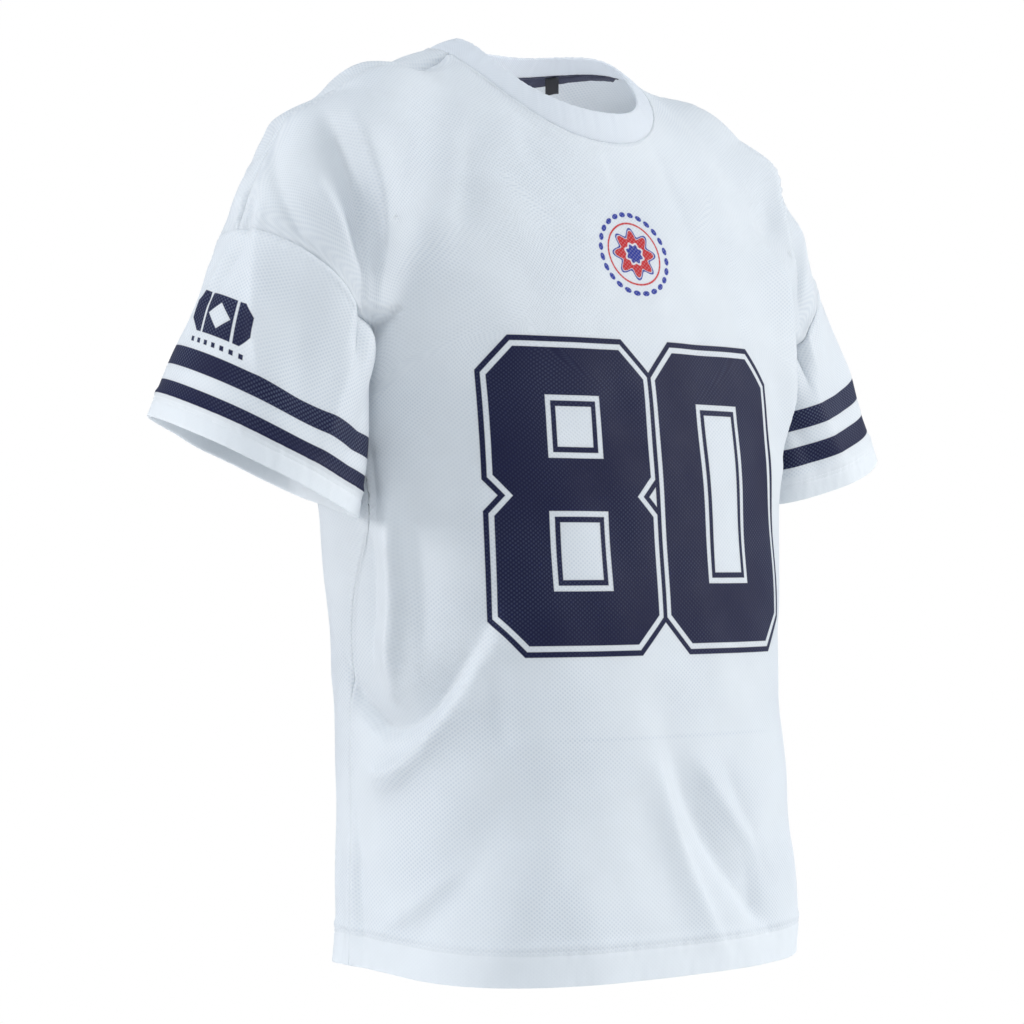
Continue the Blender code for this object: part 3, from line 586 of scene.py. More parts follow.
# Folds of the dropped shoulder and of the sleeve: angle about the arm line, 0 on its outer side
# and positive to the front, and the way along it; then widths and depth as above.
ARM_FOLDS = np.array([
    (16, -0.024, 62, 0.020, 88, 0.124, 0.022, 0.005, -0.0095),
    (26, -0.034, 74, 0.010, 98, 0.116, 0.005, 0.034, 0.0095),
    (-2, -0.005, 10, 0.070, 54, 0.113, 0.006, 0.012, -0.0036),
    (24, 0.035, 52, 0.060, 84, 0.113, 0.012, 0.007, 0.0044),
    (-1, 0.060, -1, 0.085, 1, 0.106, 0.004, 0.004, 0.0042),
    (5, 0.070, 7, 0.092, 9, 0.108, 0.004, 0.004, -0.0036),
    (12, 0.076, 14, 0.094, 16, 0.110, 0.005, 0.005, 0.0034),
    (15, 0.098, 22, 0.150, 46, 0.228, 0.007, 0.020, 0.0052),
    (11, 0.111, 7, 0.132, -3, 0.165, 0.007, 0.006, -0.0036),
    (0, 0.112, -5, 0.135, -9, 0.168, 0.005, 0.006, 0.0024),
    (50, 0.130, 62, 0.190, 76, 0.255, 0.020, 0.022, -0.0034),
    (96, 0.140, 94, 0.200, 92, 0.275, 0.012, 0.020, 0.0046),
    (122, 0.150, 116, 0.210, 112, 0.270, 0.014, 0.014, -0.0034),
    (-20, 0.110, -18, 0.150, -12, 0.200, 0.010, 0.014, 0.0030),
    (-36, 0.120, -44, 0.180, -58, 0.245, 0.018, 0.028, -0.0062),
    (-84, 0.135, -88, 0.200, -98, 0.265, 0.024, 0.016, 0.0048),
    (-64, 0.130, -72, 0.190, -76, 0.270, 0.014, 0.020, -0.0036),
    (-14, -0.008, -16, 0.012, -16, 0.038, 0.022, 0.022, -0.0100),
    (-10, 0.040, -12, 0.060, -12, 0.088, 0.018, 0.018, 0.0034),
    (-50, -0.010, -42, 0.045, -34, 0.105, 0.026, 0.024, -0.0060),
    (-82, 0.010, -78, 0.050, -60, 0.092, 0.012, 0.016, 0.0034),
    (-118, 0.150, -124, 0.200, -120, 0.260, 0.020, 0.020, -0.0036),
])
ARM_METRES_PER_DEGREE = 0.0015
BEND_STEPS = 14


# %% Depth of the folds at any place
def fold_depths(folds, at, scale, wrap):
    """Depth at places given as an angle in degrees and a length."""
    depth = np.zeros(len(at))
    for row in folds:
        ends = row[:6].reshape(3, 2) * (scale, 1)
        t = np.linspace(0, 1, BEND_STEPS + 1)[:, None]
        line = (1 - t) ** 2 * ends[0] + 2 * t * (1 - t) * ends[1] + t ** 2 * ends[2]
        angle = at[:, 0]
        if wrap:
            angle = angle + 360 * np.round((row[2] - angle) / 360)
        here = np.stack([angle * scale, at[:, 1]], 1)
        nearest = np.full(len(here), 1e9)
        share = np.zeros(len(here))
        side = np.zeros(len(here))
        for step in range(BEND_STEPS):
            run = line[step + 1] - line[step]
            away = here - line[step]
            part = np.clip(away @ run / (run @ run), 0, 1)
            gap = np.linalg.norm(away - part[:, None] * run, axis=1)
            closer = gap < nearest
            nearest = np.where(closer, gap, nearest)
            share = np.where(closer, (step + part) / BEND_STEPS, share)
            left = (run[0] * away[:, 1] - run[1] * away[:, 0]) / np.linalg.norm(run)
            side = np.where(closer, left, side)
        lean = ease(-1, 1, side / (nearest + 1e-9))
        width = row[7] * (1 - lean) + row[6] * lean
        swell = 0.1 + 0.9 * ease(0, 0.35, share) * (1 - 0.7 * ease(0.75, 1, share))
        depth += row[8] * swell * (1 + (nearest / width) ** 2) ** -1.6
    return depth


def body_places(p):
    """Turn about the body in degrees from the centre front, and height."""
    depth = np.where(p[:, 1] < 0, front_depth(p[:, 2]), back_depth(p[:, 2]))
    turn = np.degrees(np.arctan2(p[:, 0] / half_width(p[:, 2]), -p[:, 1] / depth))
    return np.stack([turn, p[:, 2]], 1)


def arm_places(p):
    along, out, back = arm_place(p)
    return np.stack([np.degrees(np.arctan2(-back, out)), along], 1)


chance = np.random.default_rng(7)
SLACK_WAVES = [(chance.normal(size=3) * (1.0, 1.0, 0.45) * 60, chance.uniform(0, 6.28),
                0.00028) for _ in range(14)]


def slack(p):
    """Small uneven looseness, so that no stretch of cloth is perfectly smooth."""
    return sum(size * np.sin(p @ wave + start) for wave, start, size in SLACK_WAVES)


def folded(form, grid, on_sleeve):
    """Pushes the folds into a grid."""
    p = grid.reshape(-1, 3)
    depth = fold_depths(ARM_FOLDS, arm_places(p), ARM_METRES_PER_DEGREE, False)
    if not on_sleeve:
        depth += fold_depths(BODY_FOLDS, body_places(p), METRES_PER_DEGREE, True)
    depth = depth + slack(p)
    return (p + unit(gradient(form, p)) * depth[:, None]).reshape(grid.shape)


# %% [markdown]
# ## Seams and hems
# A sewn seam pulls the cloth down into a shallow groove, with a puckered ridge beside it. A hem
# is turned up and held by two rows of stitches, which press a small channel into the cloth and
# leave a band that stands a little proud. All of this is a depth that depends on the distance
# from the edge, plus a slow wobble along it.

# %% Depth beside an edge
SEAM_GROOVE = 0.00030
SEAM_GROOVE_WIDTH = 0.0016
SEAM_RIDGE = 0.00080
SEAM_RIDGE_PLACE = 0.0038
SEAM_RIDGE_WIDTH = 0.0022
HEM_STAND = 0.0005
HEM_SWELL = 0.0013           # a roll above the stitches
STITCH_DEPTH = 0.00055
STITCH_WIDTH = 0.0009
PUCKER = 0.00022
PUCKER_LENGTHS = (0.0047, 0.0071, 0.0109, 0.0173)


def wobble(along, seed):
    own = np.random.default_rng(seed)
    return sum(np.sin(2 * math.pi * along / length + own.uniform(0, 6.28)) * own.uniform(0.5, 1)
               for length in PUCKER_LENGTHS)


def seam_depth(away, along, seed, high=1.0):
    groove = -SEAM_GROOVE * np.exp(-(away / SEAM_GROOVE_WIDTH) ** 2)
    ridge = SEAM_RIDGE * high * np.exp(-((away - SEAM_RIDGE_PLACE) / SEAM_RIDGE_WIDTH) ** 2)
    pucker = PUCKER * wobble(along, seed) * np.exp(-((away - 0.004) / 0.004) ** 2)
    return groove + ridge + pucker


def hem_depth_at(away, along, stitches, seed):
    stand = HEM_STAND * (1 - ease(stitches[1], stitches[1] + 0.0015, away))
    roll = HEM_SWELL * np.exp(-((away - stitches[1] - 0.0042) / 0.0034) ** 2)
    channels = sum(-STITCH_DEPTH * np.exp(-((away - line) / STITCH_WIDTH) ** 2)
                   for line in stitches)
    middle = (stitches[0] + stitches[1]) / 2
    pucker = PUCKER * wobble(along, seed) * np.exp(-((away - middle) / 0.006) ** 2)
    edge = 0.9 * PUCKER * wobble(along, seed + 1) * np.exp(-(away / 0.008) ** 2)
    return stand + roll + channels + pucker + edge


def hem_reach(away, depth):
    """Half wall outside, and how far the wall reaches inwards, rounded at the folded edge."""
    rounding = 0.35 + 0.65 * np.sqrt(np.clip(away / 0.0012, 0, 1))
    double = 1 - ease(depth, depth + 0.0010, away)
    return WALL / 2 * rounding, (WALL / 2 + WALL * double) * rounding


# %% [markdown]
# ## Turning grids into cloth
# Each piece is a closed thin shell, an outer and an inner skin joined round the rim. Its map
# holds real metres, along and across the cloth, so that the knit keeps its pitch wherever the
# panel bends. A second map on the front gives the place of the prints.

# %% Shell
def normals_of(grid, closed):
    if closed:
        across = np.roll(grid, -1, axis=1) - np.roll(grid, 1, axis=1)
    else:
        across = np.gradient(grid, axis=1)
    return unit(np.cross(across, np.gradient(grid, axis=0)))


def shell(name, skin, lining, maps, closed):
    """maps holds, for each map's name, a grid of places; a closed one has a column more."""
    rows, columns = skin.shape[:2]
    layer = np.arange(rows * columns).reshape(rows, columns)
    second = layer + rows * columns
    wide = columns + 1 if closed else columns
    beside = np.arange(wide) % columns
    near, far = beside[:-1], beside[1:]
    place = np.arange(rows * wide).reshape(rows, wide)
    faces, corners = [], []

    def add(a, b, c, d, at):
        faces.append(np.stack([part.ravel() for part in (a, b, c, d)], 1))
        corners.append(np.stack([part.ravel() for part in at], 1))

    quads = (place[:-1, :-1], place[:-1, 1:], place[1:, 1:], place[1:, :-1])
    add(layer[:-1][:, near], layer[:-1][:, far], layer[1:][:, far], layer[1:][:, near], quads)
    add(second[1:][:, near], second[1:][:, far], second[:-1][:, far], second[:-1][:, near],
        quads[::-1])
    for row, flip in ((0, 1), (rows - 1, 0)):
        a, b = layer[row][near], layer[row][far]
        c, d = second[row][far], second[row][near]
        here, there = place[row, :-1], place[row, 1:]
        if flip:
            add(b, a, d, c, (there, here, here, there))
        else:
            add(a, b, c, d, (here, there, there, here))
    if not closed:
        for column, flip in ((0, 0), (columns - 1, 1)):
            a, b = layer[:-1, column], layer[1:, column]
            c, d = second[1:, column], second[:-1, column]
            here, there = place[:-1, column], place[1:, column]
            if flip:
                add(b, a, d, c, (there, here, here, there))
            else:
                add(a, b, c, d, (here, there, there, here))
    faces = np.concatenate(faces)
    corners = np.concatenate(corners)
    points = np.concatenate([skin.reshape(-1, 3), lining.reshape(-1, 3)])
    mesh = bpy.data.meshes.new(name)
    mesh.from_pydata(points.tolist(), [], faces.tolist())
    for map_name, places in maps.items():
        layer_map = mesh.uv_layers.new(name=map_name)
        flat = places.reshape(-1, 2)[corners.ravel()]
        layer_map.data.foreach_set("uv", flat.ravel().astype(np.float32))
    mesh.shade_smooth()
    item = bpy.data.objects.new(name, mesh)
    bpy.context.collection.objects.link(item)
    return item


def facing_out(item, grid, normals):
    """Turns a shell's faces round where its grid runs the other way."""
    row, column = grid.shape[0] // 2, grid.shape[1] // 2
    across = grid[row, column + 1] - grid[row, column]
    up = grid[row + 1, column] - grid[row, column]
    if np.cross(across, up) @ normals[row, column] < 0:
        item.data.flip_normals()
    return item


# %% [markdown]
# ## Front and back panels
# The front and the back are cut alike apart from the neck, which is deeper in front. Each runs
# from the hem to the shoulder seam and carries the dropped shoulder down the arm to the armhole.

# %% Panels
SIDES_FINE = 0.060           # near the armhole and side seam the columns are closer


def panel_maps(grid):
    """Metres across and up the cloth, from the middle of the hem."""
    up = lengths(grid)
    rows, columns = grid.shape[:2]
    upright = unit(np.gradient(grid, axis=0))
    step = np.diff(grid, axis=1)
    slant = (upright[:, 1:] + upright[:, :-1]) / 2
    level = step - (step * slant).sum(-1, keepdims=True) * slant
    across = np.concatenate([np.zeros((rows, 1)), np.cumsum(np.linalg.norm(level, axis=-1), 1)], 1)
    across -= across[:, columns // 2][:, None]
    return np.stack([across, up], -1)


def print_map(grid):
    """Metres round the body from the centre front at each height, and the height."""
    p = grid.reshape(-1, 3)
    turn, height = body_places(p).T
    angles = np.radians(np.linspace(-100, 100, 401))
    out = np.zeros(len(p))
    for low in np.arange(-0.84, 0.10, 0.02):
        here = (height >= low) & (height < low + 0.02)
        if not here.any():
            continue
        for offset, weight in ((0.0, 1 - (height[here] - low) / 0.02), (0.02, (height[here] - low) / 0.02)):
            z = low + offset
            a, b, n = half_width(z), front_depth(z), front_squareness(z)
            # points of the section at each of the angles that body_places gives
            ray = np.stack([np.sin(angles), np.cos(angles)], 1)
            reach = (np.abs(ray[:, 0]) ** n + np.abs(ray[:, 1]) ** n) ** (-1 / n)
            ring = ray * reach[:, None] * (a, b)
            run = np.concatenate([[0], np.cumsum(np.linalg.norm(np.diff(ring, axis=0), axis=1))])
            run -= run[len(run) // 2]
            out[here] += weight * np.interp(np.radians(turn[here]), angles, run)
    return np.stack([out, height], 1).reshape(grid.shape[:2] + (2,))


def body_panel(name, side):
    """Front (side -1) or back (side 1); returns the piece, its middle grid and its normals."""
    neck_turn = np.linspace(-math.pi / 2, math.pi / 2, NECK_CELLS + 1)
    if side > 0:
        neck_turn = math.pi - neck_turn
    neck = neckline(neck_turn)
    left = np.concatenate([side_line, (front_armhole if side < 0 else back_armhole)[1:]])
    top = np.concatenate([mirrored(shoulder_line), neck[1:-1], shoulder_line[::-1]])
    net = lay(body_form, patch(mirrored(left), left, hem(side), top), False, 150)
    dense_rows = np.arange(0, len(net) - 1 + 1e-9, 1 / 3)
    dense_columns = np.arange(0, net.shape[1] - 1 + 1e-9, 1 / 3)
    net = between(between(net, dense_rows, 0), dense_columns, 1)
    net = settle_grid(body_form, net, 3)
    net = sampled(net, HEM_ROWS, SEWN_EDGE, CLOTH_STEP)
    fine = np.arange(SEWN_EDGE[-1], SIDES_FINE, CLOTH_STEP * 0.7)[1:]
    edge = SEWN_EDGE + tuple(fine)
    net = np.swapaxes(sampled(np.swapaxes(net, 0, 1), edge, edge, CLOTH_STEP * 1.12), 0, 1)
    flat = settle_grid(body_form, net, 3)
    from_hem = lengths(flat)
    from_top = from_hem[-1] - from_hem
    across = np.swapaxes(lengths(np.swapaxes(flat, 0, 1)), 0, 1)
    from_side = np.minimum(across, across[:, -1:] - across)
    directions = outwards(body_form, flat)
    at_neck = ease(-0.012, 0.0, NECK_HALF_WIDTH - np.abs(flat[-1, :, 0]))
    loose = 1 - at_neck * (1 - ease(0.0, 0.03, from_top))
    grid = flat + (folded(body_form, flat, False) - flat) * loose[..., None]
    depth = seam_depth(from_side, from_hem, 21, 1.3 if side < 0 else 0.3)
    depth += seam_depth(from_top, across, 22)
    depth += hem_depth_at(from_hem, across, HEM_STITCHES, 23 + side)
    grid = grid + directions * depth[..., None]
    normals = normals_of(grid, False)
    normals *= np.sign((normals * directions).sum(-1, keepdims=True))
    for edge_index in ((-1, slice(None)), (slice(None), 0), (slice(None), -1)):
        normals[edge_index] = directions[edge_index]
    half_gap = SEAM_GAP / 2
    grid[-1] += unit(grid[-2] - grid[-1]) * half_gap
    grid[:, 0] += unit(grid[:, 1] - grid[:, 0]) * half_gap
    grid[:, -1] += unit(grid[:, -2] - grid[:, -1]) * half_gap
    outer, inner = hem_reach(from_hem, HEM_DEPTH)
    skin = grid + normals * outer[..., None]
    lining = grid - normals * inner[..., None]
    maps = {"cloth": panel_maps(flat)}
    if side < 0:
        maps["print"] = print_map(flat)
    piece = facing_out(shell(name, skin, lining, maps, False), grid, normals)
    print(name, grid.shape, "faces", len(piece.data.polygons))
    return {"piece": piece, "skin": skin, "lining": lining, "normals": normals,
            "from_hem": from_hem, "from_top": from_top, "across": across, "maps": maps}


front = body_panel("cloth_front", -1)
back = body_panel("cloth_back", 1)


# %% [markdown]
# ## Sleeves
# Each sleeve is one tube, sewn along the arm's underside. It starts at the armhole, widens to
# the cuff and hangs just clear of the side. The cuff is cut in a slanting plane, which differs a
# little from side to side as the arms do.

# %% Sleeves
def cuff_loop(side):
    """The cuff's edge, settled on the sleeve's form within its slanting plane."""
    length, outer_longer, back_longer = CUFFS[side]
    turn = np.linspace(0, 2 * math.pi, 240)
    out = -0.095 * np.cos(turn)
    back_way = -0.088 * np.sin(turn)
    for _ in range(25):
        along = length + outer_longer * out + back_longer * back_way
        p = (ARM_TOP + along[:, None] * ARM_AXIS + out[:, None] * ARM_OUT
             + back_way[:, None] * np.array([0, 1.0, 0]))
        p = settle(sleeve_form, p, 1)
        along, out, back_way = arm_place(p)
    front_half = even(p[:121], ARMHOLE_CELLS)
    back_half = even(p[120:], ARMHOLE_CELLS)
    return np.concatenate([front_half, back_half[1:-1]])


def closed_rows(grid, factor):
    """A smooth closed curve through each row's points, with more of them."""
    wide = np.concatenate([grid[:, -2:], grid, grid[:, :3]], 1)
    places = 2 + np.arange(0, grid.shape[1], 1 / factor)
    return between(wide, places, 1)


def sleeve(side):
    seam = np.concatenate([front_armhole, back_armhole[::-1][1:-1]])
    start = settle(sleeve_form, seam, 14)
    share = np.linspace(0, 1, SLEEVE_CELLS + 1)[:, None, None]
    net = lay(sleeve_form, start * (1 - share) + cuff_loop(side) * share, True, 120)
    factor = 5
    net = between(net, np.arange(0, SLEEVE_CELLS + 1e-9, 0.25), 0)
    net = closed_rows(net, factor)
    seam = closed_rows(seam[None], factor)[0]
    net[1:] = settle_grid(sleeve_form, net[1:], 3)
    flat = sampled(net[::-1], CUFF_ROWS, SEWN_EDGE, SLEEVE_STEP)[::-1]
    flat = settle_grid(sleeve_form, flat, 3)
    height = (seam[:, 2] - UNDERARM[2]) / (ARMHOLE_TOP[2] - UNDERARM[2])
    lapped = 1 - ease(0.40, 0.88, height)
    seam = settle(body_form, seam, 3)
    edge = seam + unit(gradient(torso_form, seam)) * ((WALL + LAP_GAP) * lapped)[:, None]
    from_seam = lengths(flat)
    from_cuff = from_seam[-1] - from_seam
    fade = 1 - ease(0.0, 0.45, from_seam / from_seam[-1])[..., None]
    grid = folded(sleeve_form, flat, True)
    grid = grid + (folded(body_form, edge[None], False)[0] - grid[0]) * fade
    directions = outwards(sleeve_form, flat)
    body_side = unit(gradient(body_form, seam))
    directions[0] = unit(body_side * (1 - lapped)[:, None] + directions[0] * lapped[:, None])
    around = np.concatenate([flat, flat[:, :1]], 1)
    across = np.swapaxes(lengths(np.swapaxes(around, 0, 1)), 0, 1)
    depth = seam_depth(from_seam, across[:, :-1], 31)
    depth += hem_depth_at(from_cuff, across[:, :-1], CUFF_STITCHES, 33)
    grid = grid + directions * depth[..., None]
    normals = normals_of(grid, True)
    normals *= np.sign((normals * directions).sum(-1, keepdims=True))
    normals[0] = directions[0]
    grid[0] += unit(grid[1] - grid[0]) * SEAM_GAP
    outer, inner = hem_reach(from_cuff, CUFF_HEM_DEPTH)
    if side == "right":
        grid, normals = mirrored(grid), mirrored(normals)
    skin = grid + normals * outer[..., None]
    lining = grid - normals * inner[..., None]
    up = np.concatenate([from_cuff, from_cuff[:, :1]], 1)
    maps = {"cloth": np.stack([across, up], -1)}
    piece = facing_out(shell("cloth_sleeve_" + side, skin, lining, maps, True), grid, normals)
    print(piece.name, grid.shape, "faces", len(piece.data.polygons))
    return {"piece": piece, "skin": skin, "normals": normals, "from_cuff": from_cuff,
            "around": across, "flat": flat}


sleeves = {side: sleeve(side) for side in CUFFS}


# %% [markdown]
# ## Collar
# The collar is a band of the same yarn, knitted tighter and folded double, sewn to the neckline
# and left to stand up. It stands steeply at the back and leans in at the front.

# %% Collar
COLLAR_COLUMNS = 280
COLLAR_ROWS = 16


def collar_rise(turn):
    return np.radians(40.0 + 24.0 * np.cos(turn) + 14.0 * np.cos(2 * turn))


def make_collar():
    turn = np.linspace(-math.pi, math.pi, COLLAR_COLUMNS, endpoint=False)
    seam = neckline(turn)
    along = unit(neckline(turn + 0.01) - seam)
    inward = unit(np.stack([-along[:, 1], along[:, 0], np.zeros(len(turn))], 1))
    rise = collar_rise(turn)[:, None]
    up = unit(inward * np.cos(rise) + np.array([0, 0, 1.0]) * np.sin(rise))
    outside = unit(np.cross(along, up))
    share = np.concatenate([[0, 0.02, 0.045, 0.08, 0.13, 0.20],
                            np.linspace(0.28, 0.90, COLLAR_ROWS - 9), [0.955, 0.985, 1.0]])
    grid = np.stack([seam + up * COLLAR_WIDTH * t for t in share])
    normals = np.broadcast_to(outside, grid.shape).copy()
    run = lengths(np.concatenate([seam, seam[:1]]))
    away = share[:, None] * COLLAR_WIDTH
    roll = 0.0010 * np.sin(math.pi * share)[:, None]
    depth = roll - 0.0006 * np.exp(-(away / 0.0016) ** 2)
    depth = depth + 0.00016 * wobble(run[None, :-1], 41) * (0.4 + share[:, None])
    grid = grid + normals * depth[..., None]
    normals[0] = unit(outside + unit(gradient(body_form, seam)))
    grid[0] += unit(grid[1] - grid[0]) * SEAM_GAP / 2
    rounding = np.sqrt(np.clip((1 - share) * COLLAR_WIDTH / 0.0011, 0.12, 1))[:, None, None]
    skin = grid + normals * COLLAR_WALL / 2 * rounding
    lining = grid - normals * COLLAR_WALL / 2 * rounding
    across = np.broadcast_to(run, (len(share), len(run)))
    height = np.broadcast_to(away, across.shape)
    piece = shell("cloth_collar", skin, lining, {"cloth": np.stack([across, height], -1)}, True)
    facing_out(piece, grid, normals)
    print("collar", grid.shape, "round the neck", round(run[-1], 3))
    return {"piece": piece, "skin": skin, "length": run[-1]}


collar = make_collar()

# %% [markdown]
# ## Neck tape and loop
# Inside the back neck a narrow navy tape covers the raw seam, and a short loop of black ribbon
# is caught under it. Both follow the back panel's own points, so they lie flat against it.

# %% Tape and loop
TAPE_WIDTH = 0.0132
TAPE_HANG = 0.0022            # how far its lower edge stands off the panel
TAPE_WALL = 0.0008
TAPE_GAP = 0.0006
TAPE_SHORT = 0.008           # it ends so far from the shoulder seams
TAB_WIDTH = 0.0100
TAB_DROP = 0.0145
TAB_TOP = 0.003
TAB_PLACE = 0.074
RIBBON_WALL = 0.0004
FOLD_RADIUS = 0.0007


def columns_at(panel, across):
    """Fractional columns of a panel whose top edge has these places across the body."""
    top = panel["skin"][-1, :, 0]
    order = np.argsort(top)
    return np.interp(across, top[order], order)


def strip_on(panel, places, drops, inside):
    """A grid on the inside of a panel's top edge, at some of its columns."""
    columns = len(places)
    grid = between(panel["lining"], places, 1)
    normal = unit(between(panel["normals"], places, 1))
    rows = []
    squares = []
    for column in range(columns):
        run = lengths(grid[::-1, column])
        rows.append(at_lengths(grid[::-1, column], drops))
        squares.append(at_lengths_of(normal[::-1, column], run, drops))
    points = np.swapaxes(np.array(rows), 0, 1)
    square = unit(np.swapaxes(np.array(squares), 0, 1))
    return points - square * np.broadcast_to(inside, points.shape[:2])[..., None], square


def at_lengths_of(values, run, places):
    return np.stack([np.interp(places, run, values[:, axis]) for axis in range(3)], 1)


def strip_map(grid):
    across = np.swapaxes(lengths(np.swapaxes(grid, 0, 1)), 0, 1)
    return np.stack([across, lengths(grid)], -1)


tape_share = np.concatenate([[0.03, 0.06, 0.12], np.linspace(0.24, 0.88, 6), [0.96, 1.0]])
edge_run = lengths(back["skin"][-1])
neck_ends = np.interp(columns_at(back, [-NECK_HALF_WIDTH, NECK_HALF_WIDTH]),
                      np.arange(len(edge_run)), edge_run)
tape_run = np.linspace(min(neck_ends) + TAPE_SHORT, max(neck_ends) - TAPE_SHORT, 110)
tape_columns = np.interp(tape_run, edge_run, np.arange(len(edge_run)))
tape_grid, tape_square = strip_on(back, tape_columns, TAPE_WIDTH * tape_share,
                                  (TAPE_GAP + TAPE_WALL / 2 + TAPE_HANG * tape_share)[:, None])
tape_run = strip_map(tape_grid)[..., 0]
tape_grid = tape_grid - tape_square * (0.00012 * wobble(tape_run, 51))[..., None]
tape = shell("tape_neck", tape_grid + tape_square * TAPE_WALL / 2,
             tape_grid - tape_square * TAPE_WALL / 2, {"cloth": strip_map(tape_grid)}, False)
facing_out(tape, tape_grid, tape_square)

loop_columns = columns_at(back, np.linspace(-0.5, 0.5, 7) * TAB_WIDTH + TAB_PLACE)
loop_top = strip_on(back, loop_columns, np.array([TAB_TOP]),
                    TAPE_GAP + TAPE_WALL + RIBBON_WALL + TAPE_HANG * 0.35)[0][0]
down = np.array([0.0, 0.0, -1.0])
behind = unit(np.cross(down, loop_top[-1] - loop_top[0]))
behind = behind * np.sign(behind[1])
layer_out = loop_top + down * np.linspace(0, TAB_DROP, 12)[:, None, None]
bend = [layer_out[-1] + FOLD_RADIUS * (down * math.sin(t) - behind * (1 - math.cos(t)))
        for t in np.linspace(0, math.pi, 7)[1:-1]]
layer_in = layer_out[::-1] - behind * 2 * FOLD_RADIUS
loop_grid = np.concatenate([layer_out, bend, layer_in])
loop_turn = np.concatenate([np.zeros(12), np.linspace(0, math.pi, 7)[1:-1], np.full(12, math.pi)])
loop_squares = (behind * np.cos(loop_turn)[:, None] + down * np.sin(loop_turn)[:, None])[:, None]
loop_squares = np.broadcast_to(loop_squares, loop_grid.shape)
loop = shell("ribbon_loop", loop_grid + loop_squares * RIBBON_WALL / 2,
             loop_grid - loop_squares * RIBBON_WALL / 2, {"cloth": strip_map(loop_grid)}, False)
facing_out(loop, loop_grid, loop_squares)
print("tape", round(tape_run[0, -1], 3), "loop", loop_grid.shape)

# %% [markdown]
# ## Finishes
# The prints are drawn with sums, not pictures: every shape is a distance that is below zero
# inside it, and colours follow from that distance, so an edge stays sharp at any size. A small
# class lets a material's Math nodes be written as ordinary sums.


# %% Sums in a material
class Field:
    """A number that varies over the cloth, held as one socket of a node tree."""

    def __init__(self, tree, socket):
        self.tree = tree
        self.socket = socket

    def math(self, operation, *others, clamp=False):
        node = self.tree.nodes.new("ShaderNodeMath")
        node.operation = operation
        node.use_clamp = clamp
        for place, value in enumerate((self, *others)):
            if isinstance(value, Field):
                self.tree.links.new(value.socket, node.inputs[place])
            else:
                node.inputs[place].default_value = value
        return Field(self.tree, node.outputs[0])

    def __add__(self, other):
        return self.math("ADD", other)

    def __sub__(self, other):
        return self.math("SUBTRACT", other)

    def __mul__(self, other):
        return self.math("MULTIPLY", other)

    def __neg__(self):
        return self.math("MULTIPLY", -1.0)

    def size(self):
        return self.math("ABSOLUTE")

    def upper(self, other):
        return self.math("MAXIMUM", other)

    def lower(self, other):
        return self.math("MINIMUM", other)

    def within(self, edge, soft):
        """1 where the number is below an edge, 0 above it, with a soft step between."""
        return (-(self - edge)).math("MULTIPLY_ADD", 1 / soft, 0.5, clamp=True)


def length_of(x, y):
    return (x * x + y * y).math("SQRT")


def place_on(tree, map_name):
    """The two numbers of a piece's map, as fields."""
    source = tree.nodes.new("ShaderNodeUVMap")
    source.uv_map = map_name
    parts = tree.nodes.new("ShaderNodeSeparateXYZ")
    tree.links.new(source.outputs[0], parts.inputs[0])
    return Field(tree, parts.outputs[0]), Field(tree, parts.outputs[1])


def mixed(tree, share, first, second):
    """A colour between two others. Each is a socket or a plain colour."""
    node = tree.nodes.new("ShaderNodeMix")
    node.data_type = "RGBA"
    tree.links.new(share.socket, node.inputs["Factor"])
    for place, colour in ((6, first), (7, second)):
        if isinstance(colour, tuple):
            node.inputs[place].default_value = (*colour, 1)
        else:
            tree.links.new(colour, node.inputs[place])
    return node.outputs[2]


# %% [markdown]
# ## Mesh knit
# The knit has rows of small eyelets, each row shifted by half a pitch, as a fine football mesh
# has. In the white yarn each eyelet is painted a cool grey, painted shade standing for the
# cloth's shaded inside seen through the hole; it is lighter where a dark print leaves the white
# showing through, and a small dent in both. Between the eyelets run the stitches' ribs.

# %% Knit
EYELET_ACROSS = 0.0044
EYELET_UP = 0.0036
EYELET_SIZE = 0.00078
EYELET_SOFT = 0.0012
WHITE = (0.82, 0.848, 0.872)
# the cool grey of the painted shade seen through an eyelet in the white yarn
EYELET_SHADE = (0.66, 0.705, 0.76)
NAVY = (0.0105, 0.0130, 0.0580)
NAVY_EYELET = (0.130, 0.165, 0.260)
THIN = 0.44                          # share of the light that comes through the cloth
RED = (0.62, 0.018, 0.022)
BLUE = (0.018, 0.040, 0.36)


def eyelets(u, v):
    """1 in the middle of an eyelet, 0 on the yarn."""
    both = None
    for shift in (0.0, 0.5):
        x = (u.math("MULTIPLY_ADD", 1 / EYELET_ACROSS, shift + 200)).math("FRACT") - 0.5
        y = (v.math("MULTIPLY_ADD", 1 / EYELET_UP, shift + 200)).math("FRACT") - 0.5
        one = length_of(x * EYELET_ACROSS, y * EYELET_UP).within(EYELET_SIZE, EYELET_SOFT)
        both = one if both is None else both.upper(one)
    return both


